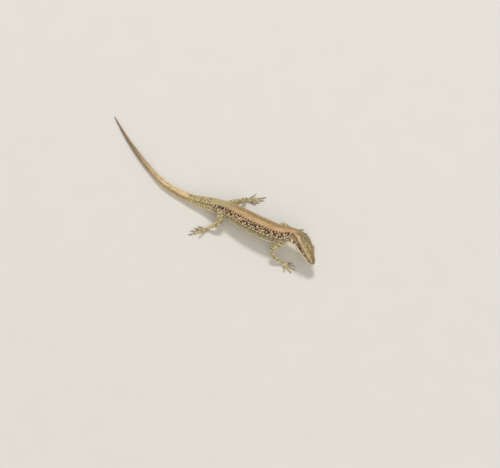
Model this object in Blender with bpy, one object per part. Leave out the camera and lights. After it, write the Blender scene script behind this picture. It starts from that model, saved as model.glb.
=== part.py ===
"""A wall lizard with a regrown tail: a still, life-size museum model.

The body is one smooth form lofted along its centre line and parted with thin cuts.  Lengths are in
millimetres until a mesh is made.  X runs forward along the trunk, Y to the animal's left, Z up, and
the floor is Z = 0.
"""
import math

import bmesh
import bpy
from mathutils import Vector

MM = 0.001
CUT = 0.3                       # width of the thin cut between two neighbouring pieces
PRESS = 0.05                    # how far a resting part would sink below the floor before it is flattened
BOX_CENTRE = (-18.16, 4.39)       # middle of the finished lizard's box, moved to X = Y = 0

# Head, measured from the snout's tip
HEAD_LENGTH = 17.4
HEAD_HEADING = math.radians(-33.0)      # turned to the animal's right
HEAD_PITCH = math.radians(-15.0)        # nose down
HEAD_ROLL = math.radians(27.0)          # right cheek lifted
TRUNK_ROLL = math.radians(16.0)         # right flank lifted
HEAD_REAR = (41.4, -0.1, 9.6)
SNOUT_ROUND = 1.3
# distance from the snout, half width, rise above and drop below the centre line
HEAD_SECTIONS = (
    (0.35, 1.75, 1.25, 1.15),
    (1.6, 2.2, 1.6, 1.45),
    (4.0, 3.05, 2.2, 1.95),
    (6.6, 3.9, 2.85, 2.4),
    (9.2, 4.5, 3.2, 2.8),
    (12.0, 4.9, 3.4, 3.2),
    (14.8, 4.95, 3.5, 3.45),
)
MOUTH_CORNER = 11.2             # from the snout's tip
MOUTH_AT_TIP = -0.35            # height of the mouth line on the head's own centre line
MOUTH_AT_CORNER = -1.15
CHIN_SET_BACK = 0.35

EYE_RADIUS = 1.55
EYE_FROM_SNOUT = 8.9
EYE_RISE = 1.25
EYE_STANDS_OUT = 0.22
EARDRUM_RADIUS = 0.85
EARDRUM_THICKNESS = 0.5
EARDRUM_DEPTH = 0.35
EAR_FROM_SNOUT = 14.6
EAR_RISE = -0.55

# The trunk and tail's centre line: place, half width, rise and drop
BODY_STATIONS = {
    "tail_end": (-92.0, 30.4, 0.30, 0.32, 0.34, 0.35),
    "tail_d": (-78.1, 21.0, 0.72, 0.78, 0.77, 0.77),
    "tail_c": (-64.7, 13.0, 1.05, 1.12, 1.10, 1.10),
    "tail_b": (-52.3, 6.6, 1.32, 1.40, 1.37, 1.37),
    "tail_a": (-38.6, 1.0, 1.65, 1.75, 1.70, 1.70),
    "regrowth": (-22.7, -0.7, 2.12, 2.30, 2.17, 2.17),
    "tail_root": (-14.0, -0.2, 3.00, 3.10, 3.00, 2.98),
    "vent": (-6.8, 0.1, 4.30, 3.95, 3.35, 3.30),
    "pelvis": (0.0, 0.0, 5.15, 4.85, 3.80, 3.80),
    "belly": (15.5, -1.7, 5.85, 6.15, 4.40, 4.45),
    "chest": (27.0, -2.1, 6.40, 6.05, 4.35, 4.50),
    "shoulder": (33.8, -1.8, 7.40, 5.45, 4.05, 4.10),
    "nape": (38.0, -0.9, 8.70, 4.70, 3.65, 3.65),
}
# name, from and to (stations), rings, sides
BODY_PIECES = (
    ("tail_tip", "tail_end", "tail_c", 10, 12),
    ("tail_rear", "tail_c", "tail_a", 10, 16),
    ("tail_middle", "tail_a", "regrowth", 7, 20),
    ("tail_base", "regrowth", "vent", 8, 24),
    ("pelvis", "vent", "hip_front", 7, 26),
    ("belly", "hip_front", "ribs", 7, 26),
    ("chest", "ribs", "shoulder_front", 7, 26),
    ("neck", "shoulder_front", "head_rear", 5, 26),
)
HIP_FRONT = 6.0                 # millimetres along the body in front of the pelvis station
RIBS = 19.0
SHOULDER_FRONT = 36.5
LIMB_CUTTER_SIDES = 32

SKIN_PALE = (0.46, 0.42, 0.26, 1.0)
PALETTE = {
    "back": (0.30, 0.24, 0.12, 1.0),
    "belly": (0.52, 0.50, 0.36, 1.0),
    "tail": (0.36, 0.27, 0.15, 1.0),
    "head": (0.22, 0.19, 0.10, 1.0),
    "limb": SKIN_PALE,
    "eye": (0.02, 0.015, 0.01, 1.0),
    "eardrum": (0.16, 0.11, 0.07, 1.0),
}
ROUGHNESS = {"eye": 0.08, "eardrum": 0.4}
SKIN_ROUGHNESS = 0.5

# Limbs: joints in order, each a place and the half width and half height of the limb there.
# The root lies inside the trunk.
ARM_RIGHT = (
    (36.2, -1.8, 7.2, 1.65, 1.75),
    (35.8, -5.2, 6.9, 1.60, 1.65),
    (34.6, -8.8, 5.8, 1.30, 1.35),
    (33.4, -12.0, 4.5, 1.05, 1.15),
    (35.9, -13.2, 3.1, 1.05, 1.05),
    (39.6, -12.9, 1.5, 0.80, 0.72),
)
ARM_LEFT = (
    (35.2, -1.6, 7.2, 1.65, 1.75),
    (33.6, 1.6, 6.9, 1.60, 1.65),
    (30.6, 4.4, 5.9, 1.30, 1.35),
    (27.9, 6.4, 4.6, 1.05, 1.15),
    (29.0, 8.0, 3.2, 1.05, 1.05),
    (31.8, 9.0, 1.5, 0.80, 0.72),
)
LEG_RIGHT = (
    (-2.8, 0.2, 4.6, 2.10, 2.20),
    (-2.2, -3.2, 4.8, 2.15, 2.20),
    (-0.3, -6.2, 5.1, 1.80, 1.85),
    (1.1, -8.7, 4.9, 1.30, 1.40),
    (-0.6, -10.5, 3.3, 1.35, 1.35),
    (-2.7, -12.5, 1.5, 0.90, 0.80),
)
LEG_LEFT = (
    (-2.6, 0.2, 4.6, 2.10, 2.20),
    (-1.8, 3.4, 4.8, 2.15, 2.20),
    (0.0, 6.4, 5.0, 1.80, 1.85),
    (1.6, 8.9, 4.8, 1.30, 1.40),
    (1.5, 11.2, 3.3, 1.35, 1.35),
    (0.8, 14.0, 1.5, 0.90, 0.80),
)
KNEE = 3                        # the joint at which a limb is parted
LIMB_SIDES = 12
LIMB_RINGS = 7
# palm length and half width, then each digit's length and the angle it fans out by, first digit first
HAND = {"palm": (2.6, 1.15), "digits": ((2.8, 52.0), (4.0, 26.0), (5.0, 5.0), (5.1, -16.0), (3.5, -46.0))}
FOOT = {"palm": (3.3, 1.25), "digits": ((2.8, 46.0), (4.2, 25.0), (5.8, 9.0), (7.4, -6.0), (4.3, -44.0))}
DIGIT_RADIUS = 0.37
DIGIT_SIDES = 6
CLAW_LENGTH = 1.1
CLAW_RADIUS = 0.25
PALM_HALF_HEIGHT = 0.58
PALM_HEIGHT = 0.80
# name, limb's joints, pattern of its digits, heading in degrees, side of the first digit (1 is left)
LIMBS = (
    ("arm_right", "hand_right", ARM_RIGHT, HAND, -6.0, 1),
    ("arm_left", "hand_left", ARM_LEFT, HAND, 2.0, -1),
    ("leg_right", "foot_right", LEG_RIGHT, FOOT, 226.0, -1),
    ("leg_left", "foot_left", LEG_LEFT, FOOT, 40.0, -1),
)
LIMB_NAMES = {"arm": ("upper_arm", "forearm"), "leg": ("thigh", "shank")}


def clear_scene():
    for item in list(bpy.data.objects):
        bpy.data.objects.remove(item, do_unlink=True)


def surface(kind):
    """The plain finish of one kind of surface."""
    if kind in bpy.data.materials:
        return bpy.data.materials[kind]
    material = bpy.data.materials.new(kind)
    material.use_nodes = True
    shader = material.node_tree.nodes["Principled BSDF"]
    shader.inputs["Base Color"].default_value = PALETTE[kind]
    shader.inputs["Roughness"].default_value = ROUGHNESS.get(kind, SKIN_ROUGHNESS)
    shader.inputs["Metallic"].default_value = 0.0
    return material


class Track:
    """Values that pass smoothly through a row of stations; the first three of each are its place."""

    def __init__(self, stations):
        self.rows = [tuple(row) for row in stations]
        self.knots = [0.0]
        for here, there in zip(self.rows, self.rows[1:]):
            self.knots.append(self.knots[-1] + math.dist(here[:3], there[:3]))
        self.length = self.knots[-1]

    def slope(self, index, channel):
        before = max(index - 1, 0)
        after = min(index + 1, len(self.rows) - 1)
        rise = self.rows[after][channel] - self.rows[before][channel]
        return rise / (self.knots[after] - self.knots[before])

    def at(self, s):
        s = min(max(s, 0.0), self.length)
        span = 0
        while span < len(self.knots) - 2 and self.knots[span + 1] < s:
            span += 1
        step = self.knots[span + 1] - self.knots[span]
        t = (s - self.knots[span]) / step
        values = []
        for channel, start in enumerate(self.rows[span]):
            end = self.rows[span + 1][channel]
            leave = self.slope(span, channel) * step
            arrive = self.slope(span + 1, channel) * step
            values.append(
                start * (2 * t**3 - 3 * t**2 + 1) + leave * (t**3 - 2 * t**2 + t)
                + end * (3 * t**2 - 2 * t**3) + arrive * (t**3 - t**2)
            )
        return values

    def frame(self, s, roll=0.0):
        """Place, forward, left and up on the track."""
        reach = 0.05
        ahead = Vector(self.at(s + reach)[:3])
        behind = Vector(self.at(s - reach)[:3])
        forward = (ahead - behind).normalized()
        level_left = Vector((0.0, 0.0, 1.0)).cross(forward).normalized()
        level_up = forward.cross(level_left)
        left = level_left * math.cos(roll) - level_up * math.sin(roll)
        up = level_up * math.cos(roll) + level_left * math.sin(roll)
        return Vector(self.at(s)[:3]), forward, left, up


def signed_power(value, power):
    return math.copysign(abs(value) ** power, value)


def body_track():
    """The centre line from the tail's end to the snout's tip."""
    rear = Vector(HEAD_REAR)
    forward = Vector((
        math.cos(HEAD_HEADING) * math.cos(HEAD_PITCH),
        math.sin(HEAD_HEADING) * math.cos(HEAD_PITCH),
        math.sin(HEAD_PITCH),
    ))
    stations = [row for row in BODY_STATIONS.values()]
    for from_snout, half_width, rise, drop in reversed(HEAD_SECTIONS):
        place = rear + forward * (HEAD_LENGTH - from_snout)
        stations.append((*place, half_width, rise, drop))
    tip = rear + forward * HEAD_LENGTH
    stations.append((*tip, *HEAD_SECTIONS[0][1:]))
    return Track(stations)


BODY = body_track()
PLACE = {name: BODY.knots[index] for index, name in enumerate(BODY_STATIONS)}
PLACE["hip_front"] = PLACE["pelvis"] + HIP_FRONT
PLACE["ribs"] = PLACE["pelvis"] + RIBS
PLACE["shoulder_front"] = PLACE["pelvis"] + SHOULDER_FRONT
PLACE["head_rear"] = BODY.length - HEAD_LENGTH


def eased(value, low, high):
    t = min(max((value - low) / (high - low), 0.0), 1.0)
    return t * t * (3 - 2 * t)


def section(s):
    """Half width, rise, drop and the two powers of the cross-section's curve at one place."""
    half_width, rise, drop = BODY.at(s)[3:6]
    in_head = eased(s, PLACE["nape"], PLACE["head_rear"] + 3.0)
    from_snout = BODY.length - s
    blunt = 1.0
    if from_snout < SNOUT_ROUND:
        blunt = math.sqrt(max(1.0 - (1.0 - from_snout / SNOUT_ROUND) ** 2, 0.04))
    top_power = 2.0 / (2.1 + 0.65 * in_head)
    low_power = 2.0 / (2.3 - 0.1 * in_head)
    return half_width * blunt, rise * blunt, drop * blunt, top_power, low_power


def body_outline(s, sides, swell=0.0):
    """Points round the body at one place, as (left, up) from the centre line."""
    half_width, rise, drop, top_power, low_power = section(s)
    points = []
    for index in range(sides):
        angle = 2 * math.pi * (index + 0.5) / sides
        power = top_power if math.sin(angle) > 0 else low_power
        height = rise if math.sin(angle) > 0 else drop
        across = signed_power(math.cos(angle), power) * (half_width + swell)
        upward = signed_power(math.sin(angle), power) * (height + swell)
        points.append((across, upward))
    return points


def body_roll(s):
    """How far the body is rolled at one place: none on the tail, a little on the trunk, more on the head."""
    trunk = TRUNK_ROLL * eased(s, PLACE["tail_root"], PLACE["pelvis"])
    return trunk + (HEAD_ROLL - TRUNK_ROLL) * eased(s, PLACE["shoulder"], PLACE["head_rear"] + 2.0)


def body_ring(s, sides, shift=0.0, swell=0.0, limit=None):
    """One ring of the body in millimetres, flattened on the floor where it would pass below it."""
    place, forward, left, up = BODY.frame(s, body_roll(s))
    ring = []
    for across, upward in body_outline(s, sides, swell):
        if limit:
            upward = limit(upward)
        point = place + forward * shift + left * across + up * upward
        ring.append(Vector((point.x, point.y, max(point.z, 0.0) if swell == 0.0 else point.z)))
    return ring


def to_world(point):
    return Vector((point.x - BOX_CENTRE[0], point.y - BOX_CENTRE[1], point.z)) * MM


def loft(name, rings, kind):
    """A closed tube through rings of equal count, capped at both ends."""
    sides = len(rings[0])
    mesh_data = bmesh.new()
    rows = [[mesh_data.verts.new(to_world(point)) for point in ring] for ring in rings]
    for row, following in zip(rows, rows[1:]):
        for index in range(sides):
            beside = (index + 1) % sides
            mesh_data.faces.new((row[index], row[beside], following[beside], following[index]))
    mesh_data.faces.new(list(reversed(rows[0])))
    mesh_data.faces.new(rows[-1])
    if mesh_data.calc_volume(signed=True) < 0:
        bmesh.ops.reverse_faces(mesh_data, faces=mesh_data.faces)
    return finish_object(name, mesh_data, kind)


def finish_object(name, mesh_data, kind):
    mesh = bpy.data.meshes.new(name)
    mesh_data.to_mesh(mesh)
    mesh_data.free()
    mesh.materials.append(surface(kind))
    mesh.shade_smooth()
    mesh.set_sharp_from_angle(angle=math.radians(50))
    item = bpy.data.objects.new(name, mesh)
    bpy.context.collection.objects.link(item)
    return item


def as_cutter(item):
    item.hide_render = True
    item.display_type = "WIRE"
    return item


def combine(item, other, operation):
    """A live Boolean of one object with another, which becomes a guide."""
    step = item.modifiers.new(other.name, "BOOLEAN")
    step.operation = operation
    step.solver = "EXACT"
    step.object = as_cutter(other)


def spread(start, end, count):
    return [start + (end - start) * index / (count - 1) for index in range(count)]


def body_piece(name, start, end, rings, sides, kind):
    places = spread(PLACE[start], PLACE[end], rings)
    shifts = [0.0] * rings
    if start != "tail_end":
        shifts[0] = CUT / 2
    shifts[-1] = -CUT / 2
    return loft(name, [body_ring(s, sides, shift) for s, shift in zip(places, shifts)], kind)


def body_pieces():
    for name, start, end, rings, sides in BODY_PIECES:
        kind = "tail" if name.startswith("tail") else "back"
        body_piece(name, start, end, rings, sides, kind)


def mouth_height(from_snout):
    share = min(from_snout / MOUTH_CORNER, 1.0)
    return MOUTH_AT_TIP + (MOUTH_AT_CORNER - MOUTH_AT_TIP) * share


def head_skull(sides=30):
    """The head above the mouth line, whole behind the mouth's corner."""
    jaw_wall = 0.2
    rings = [body_ring(PLACE["head_rear"], sides, CUT / 2)]
    for from_snout in spread(HEAD_LENGTH - 1.8, MOUTH_CORNER + CUT + jaw_wall, 4):
        rings.append(body_ring(BODY.length - from_snout, sides))
    for from_snout in (MOUTH_CORNER + CUT, 9.8, 8.3, 6.8, 5.2, 3.6, 2.2, 1.2, 0.6, 0.22, 0.0):
        floor = mouth_height(from_snout)
        rings.append(body_ring(BODY.length - from_snout, sides, limit=lambda up, low=floor: max(up, low)))
    return loft("head", rings, "head")


def jaw_ring(from_snout, roof, shift, under=19, over=9):
    """The outline below a flat roof: round under the chin from lip to lip, then straight back across."""
    s = BODY.length - from_snout
    half_width, _, drop, _, power = section(s)
    lip = math.asin((-roof / drop) ** (1 / power))
    outline = []
    for angle in spread(-lip, lip - math.pi, under):
        outline.append((signed_power(math.cos(angle), power) * half_width,
                        signed_power(math.sin(angle), power) * drop))
    edge = outline[0][0]
    outline += [(across, roof) for across in spread(-edge, edge, over + 2)[1:-1]]
    place, forward, left, up = BODY.frame(s, body_roll(s))
    return [place + forward * shift + left * across + up * upward for across, upward in outline]


def lower_jaw():
    rings = [jaw_ring(MOUTH_CORNER, MOUTH_AT_CORNER - CUT, 0.0)]
    for from_snout in (9.6, 8.0, 6.4, 4.8, 3.2, 2.0, 1.0, 0.5):
        rings.append(jaw_ring(from_snout, mouth_height(from_snout) - CUT, -CHIN_SET_BACK))
    return loft("lower_jaw", rings, "belly")


def side_place(from_snout, upward, side, depth):
    """A place depth millimetres inside the head's side, and the outward direction there."""
    s = BODY.length - from_snout
    place, _, left, up = BODY.frame(s, body_roll(s))
    half_width, rise, drop = BODY.at(s)[3:6]
    height = rise if upward > 0 else drop
    power = 2.75 if upward > 0 else 2.2
    across = half_width * (1 - abs(upward / height) ** power) ** (1 / power)
    return place + left * side * (across - depth) + up * upward, left * side


def ball(name, centre, radius, kind, segments=16, rings=10):
    mesh_data = bmesh.new()
    bmesh.ops.create_uvsphere(mesh_data, u_segments=segments, v_segments=rings, radius=radius * MM)
    bmesh.ops.translate(mesh_data, verts=mesh_data.verts, vec=to_world(centre))
    return finish_object(name, mesh_data, kind)


def disc(name, centre, outward, radius, thickness, kind, sides=14):
    mesh_data = bmesh.new()
    bmesh.ops.create_cone(mesh_data, cap_ends=True, segments=sides, radius1=radius * MM,
                          radius2=radius * MM, depth=thickness * MM)
    turn = Vector((0.0, 0.0, 1.0)).rotation_difference(outward).to_matrix()
    bmesh.ops.rotate(mesh_data, verts=mesh_data.verts, cent=(0, 0, 0), matrix=turn)
    bmesh.ops.translate(mesh_data, verts=mesh_data.verts, vec=to_world(centre))
    return finish_object(name, mesh_data, kind)


def eyes_and_ears(head):
    for side_name, side in (("left", 1), ("right", -1)):
        centre, outward = side_place(EYE_FROM_SNOUT, EYE_RISE, side, EYE_RADIUS - EYE_STANDS_OUT)
        ball("eye_" + side_name, centre, EYE_RADIUS, "eye")
        socket = ball("socket_" + side_name, centre, EYE_RADIUS + CUT, "head")
        combine(head, socket, "DIFFERENCE")

        middle = EARDRUM_DEPTH + EARDRUM_THICKNESS / 2
        centre, outward = side_place(EAR_FROM_SNOUT, EAR_RISE, side, middle)
        disc("eardrum_" + side_name, centre, outward, EARDRUM_RADIUS, EARDRUM_THICKNESS, "eardrum")
        reach = 2.0
        recess_middle = centre + outward * (reach - EARDRUM_THICKNESS / 2 - CUT)
        recess = disc("ear_recess_" + side_name, recess_middle, outward, EARDRUM_RADIUS + CUT, 2 * reach,
                      "head")
        combine(head, recess, "DIFFERENCE")


def limb_ring(track, s, sides, shift=0.0):
    place, forward, left, up = track.frame(s)
    half_width, half_height = track.at(s)[3:5]
    ring = []
    for index in range(sides):
        angle = 2 * math.pi * (index + 0.5) / sides
        point = place + forward * shift
        point += left * half_width * math.cos(angle) + up * half_height * math.sin(angle)
        ring.append(Vector((point.x, point.y, max(point.z, 0.0))))
    return ring


def limb_piece(name, track, start, end, first_shift, last_shift):
    places = spread(start, end, LIMB_RINGS)
    shifts = [first_shift] + [0.0] * (LIMB_RINGS - 2) + [last_shift]
    rings = [limb_ring(track, s, LIMB_SIDES, shift) for s, shift in zip(places, shifts)]
    return loft(name, rings, "limb")


def trunk_cutter():
    """The trunk, swollen by one cut's width, which the limbs are trimmed to."""
    places = spread(PLACE["tail_root"], PLACE["head_rear"], 24)
    return as_cutter(loft("trunk_guide", [body_ring(s, LIMB_CUTTER_SIDES, swell=CUT) for s in places], "limb"))


def digit(name, root, heading, length):
    """One toe, low and slightly arched, with its claw."""
    ahead = Vector((math.cos(heading), math.sin(heading), 0.0))
    rest = DIGIT_RADIUS - PRESS
    stations = (
        (*(root - ahead * 0.3), 0.40, 0.40),
        (*(root + ahead * length * 0.35 + Vector((0, 0, 0.10))), DIGIT_RADIUS, DIGIT_RADIUS),
        (*(Vector((root.x, root.y, rest)) + ahead * length * 0.75), DIGIT_RADIUS, DIGIT_RADIUS),
        (*(Vector((root.x, root.y, rest)) + ahead * length), 0.33, 0.34),
        (*(Vector((root.x, root.y, rest + 0.16)) + ahead * (length + CLAW_LENGTH * 0.45)), 0.27, 0.29),
        (*(Vector((root.x, root.y, CLAW_RADIUS)) + ahead * (length + CLAW_LENGTH)), 0.12, CLAW_RADIUS),
    )
    track = Track(stations)
    rings = [limb_ring(track, s, DIGIT_SIDES) for s in track.knots]
    return loft(name, rings, "limb")


def paw(name, limb, pattern, heading, first_side):
    """A palm with its five digits, united.  It starts at the limb's cut and turns to its own heading."""
    palm_length, palm_half_width = pattern["palm"]
    ahead = Vector((math.cos(heading), math.sin(heading), 0.0))
    beside = Vector((-ahead.y, ahead.x, 0.0))
    start, along_limb, _, _ = limb.frame(limb.length)
    wrist_half_width, wrist_half_height = limb.rows[-1][3:5]
    start += along_limb * CUT / 2
    knuckles = Vector((start.x, start.y, PALM_HEIGHT)) + ahead * palm_length
    turn = start + along_limb * 0.6
    middle = (turn + knuckles) / 2
    track = Track((
        (*start, wrist_half_width, wrist_half_height),
        (*turn, wrist_half_width, wrist_half_height),
        (*middle, palm_half_width * 0.85, PALM_HALF_HEIGHT * 1.15),
        (*knuckles, palm_half_width, PALM_HALF_HEIGHT),
        (*(knuckles + ahead * 0.5), palm_half_width * 0.7, PALM_HALF_HEIGHT * 0.7),
    ))
    rings = [limb_ring(limb, limb.length, LIMB_SIDES, CUT / 2)]
    rings += [limb_ring(track, s, LIMB_SIDES) for s in spread(track.knots[1], track.length, 6)]
    palm = loft(name, rings, "limb")
    for number, (length, fan) in enumerate(pattern["digits"]):
        share = 1.0 - number / 2.0
        root = knuckles + beside * first_side * share * palm_half_width * 0.75
        root -= ahead * 0.45 * abs(share) * palm_half_width
        root.z = PALM_HEIGHT - 0.12
        toe = digit(f"{name}_digit_{number + 1}", root, heading + math.radians(fan) * first_side, length)
        combine(palm, toe, "UNION")


def limbs():
    guide = trunk_cutter()
    for limb_name, paw_name, joints, pattern, heading, first_side in LIMBS:
        kind, side = limb_name.split("_")
        upper_name, lower_name = LIMB_NAMES[kind]
        track = Track(joints)
        knee = track.knots[KNEE]
        upper = limb_piece(f"{upper_name}_{side}", track, 0.0, knee, 0.0, -CUT / 2)
        combine(upper, guide, "DIFFERENCE")
        limb_piece(f"{lower_name}_{side}", track, knee, track.length, CUT / 2, -CUT / 2)
        paw(paw_name, track, pattern, math.radians(heading), first_side)


def main():
    clear_scene()
    body_pieces()
    lower_jaw()
    eyes_and_ears(head_skull())
    limbs()


main()
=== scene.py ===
"""The skin, scales, shields and eyes of the wall lizard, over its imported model.

Lengths are in millimetres until a mesh is made.  A place on the body is given by s, the distance along
the centre line from the tail's end, and by turn, the angle round it from the crown, left positive.
"""
import math

import bpy
import numpy as np
from mathutils import Matrix, Vector
from mathutils.bvhtree import BVHTree
from mathutils.geometry import delaunay_2d_cdt


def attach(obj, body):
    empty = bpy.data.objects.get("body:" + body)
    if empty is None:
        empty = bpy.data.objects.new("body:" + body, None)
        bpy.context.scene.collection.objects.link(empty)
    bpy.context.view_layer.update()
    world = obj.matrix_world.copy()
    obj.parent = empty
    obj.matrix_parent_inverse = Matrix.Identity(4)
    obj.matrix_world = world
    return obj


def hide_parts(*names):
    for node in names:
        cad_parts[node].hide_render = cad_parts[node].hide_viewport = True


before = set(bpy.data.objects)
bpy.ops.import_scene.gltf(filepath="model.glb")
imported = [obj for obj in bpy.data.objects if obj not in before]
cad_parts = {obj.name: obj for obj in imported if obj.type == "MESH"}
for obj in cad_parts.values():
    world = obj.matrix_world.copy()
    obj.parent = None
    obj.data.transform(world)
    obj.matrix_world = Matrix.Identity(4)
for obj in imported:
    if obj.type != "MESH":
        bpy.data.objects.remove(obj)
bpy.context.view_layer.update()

MM = 0.001
BOX_CENTRE = np.array((-18.16, 4.39, 0.0))
RING_STEP = 0.35                # between two rings of a loft that the skin is made from
VOXEL = 0.17
SKIN_FACES = 165000             # triangles left on the body's skin
COAT = 0.12                     # depth of the scales, by which the skin lies inside the solids
LIMB_COAT = 0.08
TOE_COAT = 0.05
FLOOR_CLEARANCE = 0.012
PATCH = 0.003                   # width of one scale on the unwrap
SMALL_MAP = 0.47                # half the width of the map of a small piece
SHEET = 98.0                    # millimetres that the whole unwrap is across
RIM_ON_SHEET = 0.0004           # how far a plate's rim lies beside its place on the unwrap

# The frame's own sizes, repeated from the model
HEAD_LENGTH = 17.4
HEAD_HEADING = math.radians(-33.0)
HEAD_PITCH = math.radians(-15.0)
HEAD_ROLL = math.radians(27.0)
TRUNK_ROLL = math.radians(16.0)
HEAD_REAR = (41.4, -0.1, 9.6)
SNOUT_ROUND = 1.3
HEAD_SECTIONS = (
    (0.35, 1.75, 1.25, 1.15),
    (1.6, 2.2, 1.6, 1.45),
    (4.0, 3.05, 2.2, 1.95),
    (6.6, 3.9, 2.85, 2.4),
    (9.2, 4.5, 3.2, 2.8),
    (12.0, 4.9, 3.4, 3.2),
    (14.8, 4.95, 3.5, 3.45),
)
MOUTH_CORNER = 11.2
MOUTH_AT_TIP = -0.35
MOUTH_AT_CORNER = -1.15
EYE_RADIUS = 1.55
EYE_FROM_SNOUT = 8.9
EYE_RISE = 1.25
EYE_STANDS_OUT = 0.22
EARDRUM_RADIUS = 0.85
EARDRUM_DEPTH = 0.35
EAR_FROM_SNOUT = 14.6
EAR_RISE = -0.55
EAR_HALF_LENGTH = 0.82
EAR_HALF_HEIGHT = 1.0
NOSTRIL_FROM_SNOUT = 1.5
NOSTRIL_RISE = 0.42
BODY_STATIONS = {
    "tail_end": (-92.0, 30.4, 0.30, 0.32, 0.34, 0.35),
    "tail_d": (-78.1, 21.0, 0.72, 0.78, 0.77, 0.77),
    "tail_c": (-64.7, 13.0, 1.05, 1.12, 1.10, 1.10),
    "tail_b": (-52.3, 6.6, 1.32, 1.40, 1.37, 1.37),
    "tail_a": (-38.6, 1.0, 1.65, 1.75, 1.70, 1.70),
    "regrowth": (-22.7, -0.7, 2.12, 2.30, 2.17, 2.17),
    "tail_root": (-14.0, -0.2, 3.00, 3.10, 3.00, 2.98),
    "vent": (-6.8, 0.1, 4.30, 3.95, 3.35, 3.30),
    "pelvis": (0.0, 0.0, 5.15, 4.85, 3.80, 3.80),
    "belly": (15.5, -1.7, 5.85, 6.15, 4.40, 4.45),
    "chest": (27.0, -2.1, 6.40, 6.05, 4.35, 4.50),
    "shoulder": (33.8, -1.8, 7.40, 5.45, 4.05, 4.10),
    "nape": (38.0, -0.9, 8.70, 4.70, 3.65, 3.65),
}
ARM_RIGHT = (
    (36.2, -1.8, 7.2, 1.65, 1.75),
    (35.8, -5.2, 6.9, 1.60, 1.65),
    (34.6, -8.8, 5.8, 1.30, 1.35),
    (33.4, -12.0, 4.5, 1.05, 1.15),
    (35.9, -13.2, 3.1, 1.05, 1.05),
    (39.6, -12.9, 1.5, 0.80, 0.72),
)
ARM_LEFT = (
    (35.2, -1.6, 7.2, 1.65, 1.75),
    (33.6, 1.6, 6.9, 1.60, 1.65),
    (30.6, 4.4, 5.9, 1.30, 1.35),
    (27.9, 6.4, 4.6, 1.05, 1.15),
    (29.0, 8.0, 3.2, 1.05, 1.05),
    (31.8, 9.0, 1.5, 0.80, 0.72),
)
LEG_RIGHT = (
    (-2.8, 0.2, 4.6, 2.10, 2.20),
    (-2.2, -3.2, 4.8, 2.15, 2.20),
    (-0.3, -6.2, 5.1, 1.80, 1.85),
    (1.1, -8.7, 4.9, 1.30, 1.40),
    (-0.6, -10.5, 3.3, 1.35, 1.35),
    (-2.7, -12.5, 1.5, 0.90, 0.80),
)
LEG_LEFT = (
    (-2.6, 0.2, 4.6, 2.10, 2.20),
    (-1.8, 3.4, 4.8, 2.15, 2.20),
    (0.0, 6.4, 5.0, 1.80, 1.85),
    (1.6, 8.9, 4.8, 1.30, 1.40),
    (1.5, 11.2, 3.3, 1.35, 1.35),
    (0.8, 14.0, 1.5, 0.90, 0.80),
)
HAND = {"palm": (2.6, 1.15), "digits": ((2.8, 52.0), (4.0, 26.0), (5.0, 5.0), (5.1, -16.0), (3.5, -46.0))}
FOOT = {"palm": (3.3, 1.25), "digits": ((2.8, 46.0), (4.2, 25.0), (5.8, 9.0), (7.4, -6.0), (4.3, -44.0))}
DIGIT_RADIUS = 0.37
CLAW_LENGTH = 1.1
PALM_HALF_HEIGHT = 0.58
PALM_HEIGHT = 0.80
PRESS = 0.05
LIMBS = (
    ("arm_right", ARM_RIGHT, HAND, -6.0, 1),
    ("arm_left", ARM_LEFT, HAND, 2.0, -1),
    ("leg_right", LEG_RIGHT, FOOT, 226.0, -1),
    ("leg_left", LEG_LEFT, FOOT, 40.0, -1),
)
FLESH = ["head", "lower_jaw", "neck", "chest", "belly", "pelvis",
         "tail_base", "tail_middle", "tail_rear", "tail_tip"]
FLESH += [f"{part}_{side}" for side in ("left", "right")
          for part in ("upper_arm", "forearm", "hand", "thigh", "shank", "foot")]
SIDES = (("left", 1), ("right", -1))


# ---------------------------------------------------------------- the forms that everything follows

def eased(value, low, high):
    t = np.clip((value - low) / (high - low), 0.0, 1.0)
    return t * t * (3 - 2 * t)


def hump(value, centre, spread):
    return np.exp(-(((value - centre) / spread) ** 2))


def unit(vectors):
    return vectors / np.maximum(np.linalg.norm(vectors, axis=-1, keepdims=True), 1e-12)


def dot(a, b):
    return (a * b).sum(axis=-1)


def signed_power(value, power):
    return np.sign(value) * np.abs(value) ** power


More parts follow.
